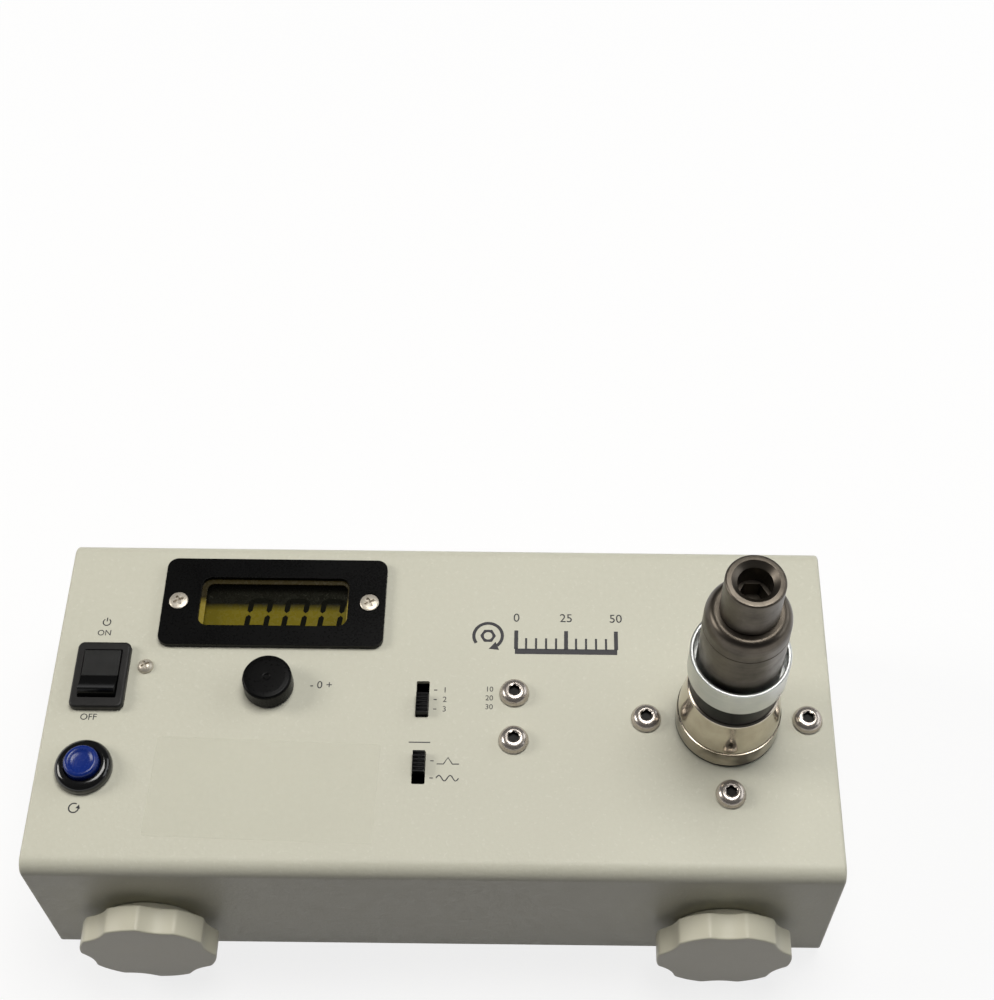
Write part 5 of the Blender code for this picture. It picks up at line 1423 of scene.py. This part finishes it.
@dataclass
class Legends:
    """Printed marks on the panel: switch words, plain numbers, ticks and signs, and a film.

    The words (text, place, height) and the ticks are given in millimetres.
    """

    ink: Material
    film: Material
    thickness: float = 0.03 * MM
    centre_y: float = 3.95 * MM
    hair: float = 0.3 * MM
    words: tuple[tuple[str, float, float, float], ...] = (
        ("ON", -95.1, 19.9, 1.8), ("OFF", -95.6, -6.2, 1.9), ("- 0 +", -33.0, 4.3, 2.3),
        ("1", 1.2, 3.2, 1.7), ("2", 1.2, 0.3, 1.7), ("3", 1.2, -2.6, 1.7),
        ("10", 13.4, 3.6, 1.6), ("20", 13.4, 0.9, 1.6), ("30", 13.4, -1.8, 1.6),
        ("0", 20.5, 26.2, 2.7), ("25", 34.5, 26.2, 2.7), ("50", 48.5, 26.2, 2.7))
    ticks: tuple[Point, ...] = ((-1.4, 3.2), (-1.4, 0.3), (-1.4, -2.6), (-1.5, -18.0),
                                (-1.5, -23.0))
    tick: Size = (0.9 * MM, 0.28 * MM)
    scale: tuple[float, float, float, int] = (20.5 * MM, 48.5 * MM, 15.6 * MM, 10)
    film_centre: Point = (-46.1 * MM, -26.8 * MM)
    film_size: Size = (60.5 * MM, 28.6 * MM)
    film_turn: float = -1.6

    def build(self) -> None:
        """Print all marks in one piece and lay the film."""
        self.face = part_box("housing_shell")[1].z + 0.01 * MM
        shape = Shape()
        for text, x, y, height in self.words:
            shape.add(self.word(text, height * MM).move(x * MM, y * MM + self.centre_y,
                                                        self.face))
        for x, y in self.ticks:
            shape.add(self.flat(rectangle(*self.tick, (x * MM, y * MM + self.centre_y))))
        for signs in (self.power_sign(), self.reset_sign(), self.mode_signs(),
                      self.torque_sign(), self.torque_scale()):
            shape.add(signs)
        dress("panel_print", shape, self.ink, HOUSING, ())
        film = Shape().prism(rectangle(*self.film_size), self.face, self.face + self.thickness,
                             0.8 * MM, 4).turn(self.film_turn)
        film.move(self.film_centre[0], self.film_centre[1] + self.centre_y)
        dress("label_film", film, self.film, HOUSING, ())

    def flat(self, outline: Sequence[Point]) -> Shape:
        """Return an outline filled with ink."""
        return Shape().prism(outline, self.face, self.face + self.thickness)

    def line(self, points: Sequence[Point], width: float) -> Shape:
        """Return a printed line of one width through the points.

        Args:
            points: the line's corners in the plane.
            width: its width.

        Returns:
            The line, raised by the ink's thickness.
        """
        sides: tuple[list[Point], list[Point]] = ([], [])
        for step, point in enumerate(points):
            before, after = points[max(step - 1, 0)], points[min(step + 1, len(points) - 1)]
            along = Vector((after[0] - before[0], after[1] - before[1])).normalized()
            for side, sign in zip(sides, (-1, 1)):
                side.append((point[0] - sign * along.y * width / 2,
                             point[1] + sign * along.x * width / 2))
        return self.flat(sides[0] + sides[1][::-1])

    def arrow(self, tip: Point, heading: float, size: float) -> Shape:
        """Return an arrow head with its tip at a point, heading by an angle in degrees."""
        corners = [(0.0, 0.0)] + [(size * math.cos(math.radians(heading + turn)),
                                   size * math.sin(math.radians(heading + turn)))
                                  for turn in (152, 208)]
        return self.flat([(tip[0] + x, tip[1] + y) for x, y in corners])

    def power_sign(self) -> Shape:
        """Return the open ring and bar over the rocker."""
        ring = self.line(arc((0, 0), 1.05 * MM, 125, 415, 24), self.hair)
        bar = self.line([(0, 0.25 * MM), (0, 1.45 * MM)], self.hair)
        return ring.add(bar).move(-94.9 * MM, 23.4 * MM + self.centre_y)

    def reset_sign(self) -> Shape:
        """Return the turning arrow under the push button."""
        ring = self.line(arc((0, 0), 1.3 * MM, 60, 360, 24), 0.35 * MM)
        head = self.arrow((1.3 * MM, 1.0 * MM), 80, 1.3 * MM)
        return ring.add(head).move(-95.4 * MM, -32.7 * MM + self.centre_y)

    def mode_signs(self) -> Shape:
        """Return a peak and a running wave beside the lower selector."""
        peak = [(-0.2, -18.9), (1.6, -18.9), (2.8, -17.0), (4.0, -18.9), (5.8, -18.9)]
        wave = [(-0.2 + 6.0 * step / 24, -23.0 + 0.8 * math.sin(step / 24 * 4 * math.pi))
                for step in range(25)]
        shape = Shape()
        for points in (peak, wave, [(-8.0, -12.6), (-2.2, -12.6)]):
            shape.add(self.line([(x * MM, y * MM) for x, y in points], self.hair))
        return shape.move(y=self.centre_y)

    def torque_sign(self) -> Shape:
        """Return a hexagon in a turning arrow, the sign for torque."""
        hexagon = self.flat(polygon(2.2 * MM, 6))
        hexagon.cut(Shape().prism(polygon(1.2 * MM, 24), self.face - MM, self.face + MM))
        ring = self.line(arc((0, 0), 4.0 * MM, -50, 215, 40), 0.9 * MM)
        tip = polygon(4.0 * MM, 1, -62)[0]
        head = self.arrow((tip[0] - 1.6 * MM, tip[1] - 0.6 * MM), -158, 2.9 * MM)
        return hexagon.add(ring).add(head).move(12.6 * MM, 20.4 * MM + self.centre_y)

    def torque_scale(self) -> Shape:
        """Return the bar and ticks of the plain scale."""
        left, right, low, steps = self.scale
        shape = self.line([(left - 0.3 * MM, low), (right + 0.3 * MM, low)], 1.7 * MM)
        for step in range(steps + 1):
            x = left + (right - left) * step / steps
            tall, wide = (6.6 * MM, 1.1 * MM) if step % 5 == 0 else (4.2 * MM, 0.6 * MM)
            shape.add(self.line([(x, low + 0.7 * MM), (x, low + tall)], wide))
        return shape.move(y=self.centre_y)

    def word(self, text: str, height: float) -> Shape:
        """Return a word as a thin raised mesh, centred on the origin."""
        curve = bpy.data.curves.new("word", "FONT")
        curve.body = text
        curve.size = height * 1.38
        curve.extrude = self.thickness / 2
        curve.align_x = "CENTER"
        curve.align_y = "CENTER"
        holder = bpy.data.objects.new("word", curve)
        bpy.context.scene.collection.objects.link(holder)
        mesh = bpy.data.meshes.new_from_object(holder.evaluated_get(
            bpy.context.evaluated_depsgraph_get()))
        bpy.data.objects.remove(holder)
        bpy.data.curves.remove(curve)
        shape = Shape()
        shape.bm.from_mesh(mesh)
        bpy.data.meshes.remove(mesh)
        return shape.move(z=self.thickness / 2)


@dataclass
class Interior:
    """Finishes of the frame's own solids that stay as they are."""

    finishes: dict[str, Material]
    special: dict[str, Material]

    def build(self, frame: dict) -> None:
        """Give every node of each slot its finish.
        """
        for part in frame["record"]["subparts"]:
            for holder in bpy.data.objects[part["node"]].material_slots:
                holder.material = self.special.get(part["node"],
                                                   self.finishes[part["material_slot"]])


@dataclass
class Studio:
    """Plain floor, soft lamps, pale world and the camera at the photograph's view."""

    lens: float = 63.05
    shift: Point = (-0.0415, -0.0282)
    camera_at: tuple[float, float, float] = (0.026244, -0.215364, 0.488125)
    right: tuple[float, float, float] = (0.999935, 0.009420, 0.006413)
    up: tuple[float, float, float] = (-0.011396, 0.825183, 0.564750)
    lamps: tuple[tuple[str, tuple, Point, float, Color], ...] = (
        ("top_softbox", (0.13, 0.21, 1.15), (0.55, 0.55), 8.6, (1.0, 0.985, 0.955)),
        ("left_softbox", (-0.95, 0.15, 0.65), (0.45, 0.40), 4.8, (1.0, 0.97, 0.93)),
        ("right_softbox", (0.92, 0.26, 0.55), (1.10, 0.45), 3.2, (0.95, 0.98, 1.0)))
    target: tuple[float, float, float] = (0.0, 0.0, 0.10)

    def build(self) -> None:
        """Build the floor, the lamps, the world and the camera."""
        self.floor()
        for lamp in self.lamps:
            self.lamp(*lamp)
        self.world()
        self.camera()

    def floor(self) -> None:
        """Lay a floor that the camera and the gloss see as white, with the object's shadow."""
        g = Graph("studio_floor")
        mask = 0.0
        for name in ("Is Camera Ray", "Is Glossy Ray", "Is Transmission Ray"):
            mask = g.node("ShaderNodeMath", {"operation": "MAXIMUM"},
                          {0: mask, 1: g.node("ShaderNodeLightPath", output=name)})
        tone = g.blend(mask, (0.235, 0.218, 0.222), (0.97, 0.97, 0.97))
        dull = g.node("ShaderNodeBsdfDiffuse", None, {0: tone})
        white = g.node("ShaderNodeEmission", None, {0: (1.0, 1.0, 1.0, 1.0), 1: 1.0})
        away = g.node("ShaderNodeVectorMath", {"operation": "LENGTH"}, {0: g.place()}, "Value")
        glow = mask * g.range(away, 0.2, 0.7, 0.80, 1.0)
        mixed = g.node("ShaderNodeMixShader", None, {0: glow, 1: dull, 2: white})
        shape = Shape().prism(rectangle(8.0, 8.0), -0.002, 0.0)
        mesh = shape.release("studio_floor")
        mesh.materials.append(g.finish(mixed))
        floor = bpy.data.objects.new("studio_floor", mesh)
        bpy.context.scene.collection.objects.link(floor)

    def lamp(self, name: str, place: tuple, size: Point, watts: float, color: Color) -> None:
        """Hang a softbox.

        Args:
            name: its name.
            place: where it hangs.
            size: its width and height.
            watts: its power.
            color: its colour.
        """
        light = bpy.data.lights.new(name, "AREA")
        light.shape = "RECTANGLE"
        light.size, light.size_y = size
        light.energy = watts
        light.color = color
        holder = bpy.data.objects.new(name, light)
        holder.location = place
        holder.rotation_euler = (Vector(self.target) - Vector(place)).to_track_quat(
            "-Z", "Y").to_euler()
        bpy.context.scene.collection.objects.link(holder)

    @staticmethod
    def world() -> None:
        """Set a low even world that the camera, and the gloss near the horizon, see as white."""
        world = bpy.data.worlds.new("studio_world")
        world.use_nodes = True
        tree = world.node_tree
        back = tree.nodes["Background"]
        back.inputs["Color"].default_value = (0.076, 0.076, 0.078, 1.0)
        path = tree.nodes.new("ShaderNodeLightPath")
        white = tree.nodes.new("ShaderNodeBackground")
        mixed = tree.nodes.new("ShaderNodeMixShader")
        split = tree.nodes.new("ShaderNodeSeparateXYZ")
        tree.links.new(tree.nodes.new("ShaderNodeTexCoord").outputs["Generated"], split.inputs[0])
        level = tree.nodes.new("ShaderNodeMapRange")
        tree.links.new(split.outputs["Z"], level.inputs[0])
        for number, value in enumerate((0.02, 0.12, 1.0, 0.0), 1):
            level.inputs[number].default_value = value
        last = level.outputs[0]
        for kind, operation in (("Is Glossy Ray", "MULTIPLY"), ("Is Transmission Ray", "MAXIMUM"),
                                ("Is Camera Ray", "MAXIMUM")):
            step = tree.nodes.new("ShaderNodeMath")
            step.operation = operation
            tree.links.new(last, step.inputs[0])
            tree.links.new(path.outputs[kind], step.inputs[1])
            last = step.outputs[0]
        tree.links.new(last, mixed.inputs[0])
        tree.links.new(back.outputs[0], mixed.inputs[1])
        tree.links.new(white.outputs[0], mixed.inputs[2])
        white.inputs["Color"].default_value = (1.0, 1.0, 1.0, 1.0)
        tree.links.new(mixed.outputs[0], tree.nodes["World Output"].inputs[0])
        bpy.context.scene.world = world

    def camera(self) -> None:
        """Put the camera where the photograph was taken from."""
        data = bpy.data.cameras.new("photo_camera")
        data.lens = self.lens
        data.shift_x, data.shift_y = self.shift
        right, up = Vector(self.right), Vector(self.up)
        back = right.cross(up)
        turn = Matrix((right, up, back)).transposed().to_4x4()
        camera = bpy.data.objects.new("photo_camera", data)
        camera.matrix_world = Matrix.Translation(self.camera_at) @ turn
        bpy.context.scene.collection.objects.link(camera)
        bpy.context.scene.camera = camera


def window_back() -> float:
    """Return where the back edge of the display's window lies."""
    return middle("display_plate").y + Display.window[1] / 2


def finishes() -> dict[str, Material]:
    """Return a finish for each of the record's material slots."""
    collar_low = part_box("hub_collar")[0].z
    panel = panel_level()
    # heights of the painted shade under the collar, the painted shadow line at the foot and the top
    # of the ring
    undercut, shadow_line, ring = 7.6 * MM, 1.2 * MM, 7.5 * MM
    return {
        "housing_paint": Enamel().build(),
        "knob_plastic": Moulded("knob_ivory", (0.56, 0.54, 0.43), (0.62, 0.60, 0.48), 0.38,
                                0.08, specular=0.3).build(),
        "black_plastic": Moulded("satin_black", (0.0022, 0.0022, 0.0022), (0.0036, 0.0036, 0.0036),
                                 0.28, 0.04, specular=0.09).build(),
        "gloss_black": Moulded("gloss_black", (0.004, 0.004, 0.004), (0.007, 0.007, 0.007), 0.13,
                               0.03, coat=0.2).build(),
        "blue_plastic": Moulded("button_blue", (0.0045, 0.019, 0.155), (0.007, 0.029, 0.215), 0.24,
                                0.04, specular=0.4).build(),
        "foot_rubber": Moulded("foot_rubber", (0.014, 0.014, 0.014), (0.024, 0.024, 0.023), 0.7,
                               0.3, 900.0).build(),
        "screw_steel": Turned("stainless_screws", (0.62, 0.57, 0.52), (0.42, 0.37, 0.33), 0.20,
                              metallic=0.85).build(),
        "zinc_plate": Turned("zinc_sheet", (0.62, 0.62, 0.60), (0.46, 0.46, 0.45), 0.38, 0.12,
                             900.0).build(),
        "cell_steel": Turned("machined_cell", (0.45, 0.45, 0.45), (0.30, 0.30, 0.31), 0.30,
                             0.15, 1500.0).build(),
        "hub_chrome": HubChrome((collar_low - undercut, collar_low), panel + shadow_line,
                                panel + ring).build(),
        "collar_satin": Turned("collar_satin", (0.62, 0.63, 0.61), (0.50, 0.52, 0.52), 0.27,
                               0.05, 2200.0).build(),
        "adapter_oxide": Turned("adapter_oxide", (0.125, 0.108, 0.088), (0.052, 0.045, 0.037), 0.30,
                                0.10, 1800.0, 0.16).build(),
        "window_acrylic": ClearPlastic().build(),
        "lcd_glass": LcdGlass(window_back(), 8.3 * MM).build(),
        "board_laminate": Laminate().build(),
        "battery_sleeve": Moulded("battery_sleeve", (0.02, 0.08, 0.24), (0.03, 0.12, 0.33), 0.2,
                                  0.05, 500.0, 0.2).build(),
    }


def main() -> None:
    """Build every sub-assembly in order and report each piece."""
    logging.basicConfig(level=logging.INFO, format="%(name)s: %(message)s")
    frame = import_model()
    bpy.context.scene.view_settings.view_transform = "Standard"
    slots = finishes()
    ink = Print("panel_ink", (0.018, 0.017, 0.022), (0.06, 0.06, 0.06)).build()
    segment = Moulded("lcd_ink", (0.003, 0.003, 0.002), (0.005, 0.0045, 0.003), 0.5,
                      specular=0.05).build()
    spindle = Turned("spindle_oxide", (0.14, 0.122, 0.10), (0.062, 0.054, 0.045), 0.30, 0.10,
                     1800.0, 0.16).build()
    # near-black switch bodies under the selector slots: painted shade in the channels
    shade = Moulded("channel_painted_shade", (0.002, 0.002, 0.002), (0.003, 0.003, 0.003), 0.6,
                    specular=0.06).build()
    Interior(slots, {"unit_switch_body": shade, "mode_switch_body": shade}).build(frame)
    Case(slots["housing_paint"], slots["foot_rubber"]).build()
    # window rim: olive painted as the lit LCD seen through the clear bevel, with painted shade
    # towards the back
    rim_painted_light = LcdGlass(window_back(), 8.0 * MM, "window_rim_painted_light", (0.30, 0.235, 0.035),
                     (0.026, 0.019, 0.004)).build()
    nickel = Turned("nickel_screws", (0.66, 0.61, 0.52), (0.50, 0.45, 0.37), 0.34, 0.04,
                    metallic=0.6).build()
    # dark lining of the screw sockets: painted shade
    dull = Moulded("socket_shadow", (0.010, 0.009, 0.008), (0.02, 0.018, 0.016), 0.5,
                   specular=0.2).build()
    # rocker finish with a painted sheen on the half behind its crease
    painted_sheen = SheenPaintedGloss(middle("power_rocker").y - 0.73 * MM).build()
    Display(slots["black_plastic"], slots["window_acrylic"], segment, rim_painted_light, nickel).build()
    bezel = Moulded("bezel_charcoal", (0.010, 0.0095, 0.009), (0.015, 0.014, 0.0135), 0.42, 0.08,
                    specular=0.3).build()
    PowerSwitch(bezel, painted_sheen).build()
    ResetButton(slots["gloss_black"], slots["blue_plastic"]).build()
    ZeroControl(slots["black_plastic"]).build()
    Selectors(slots["black_plastic"]).build()
    PanelScrews(slots["screw_steel"], nickel, dull).build()
    Clamps(slots["knob_plastic"]).build()
    HubStack(slots["hub_chrome"], slots["collar_satin"], slots["adapter_oxide"],
             spindle).build()
    ChargingJack(slots["black_plastic"]).build()
    Legends(ink, Film().build()).build()
    Studio().build()


if __name__ == "__main__":
    main()
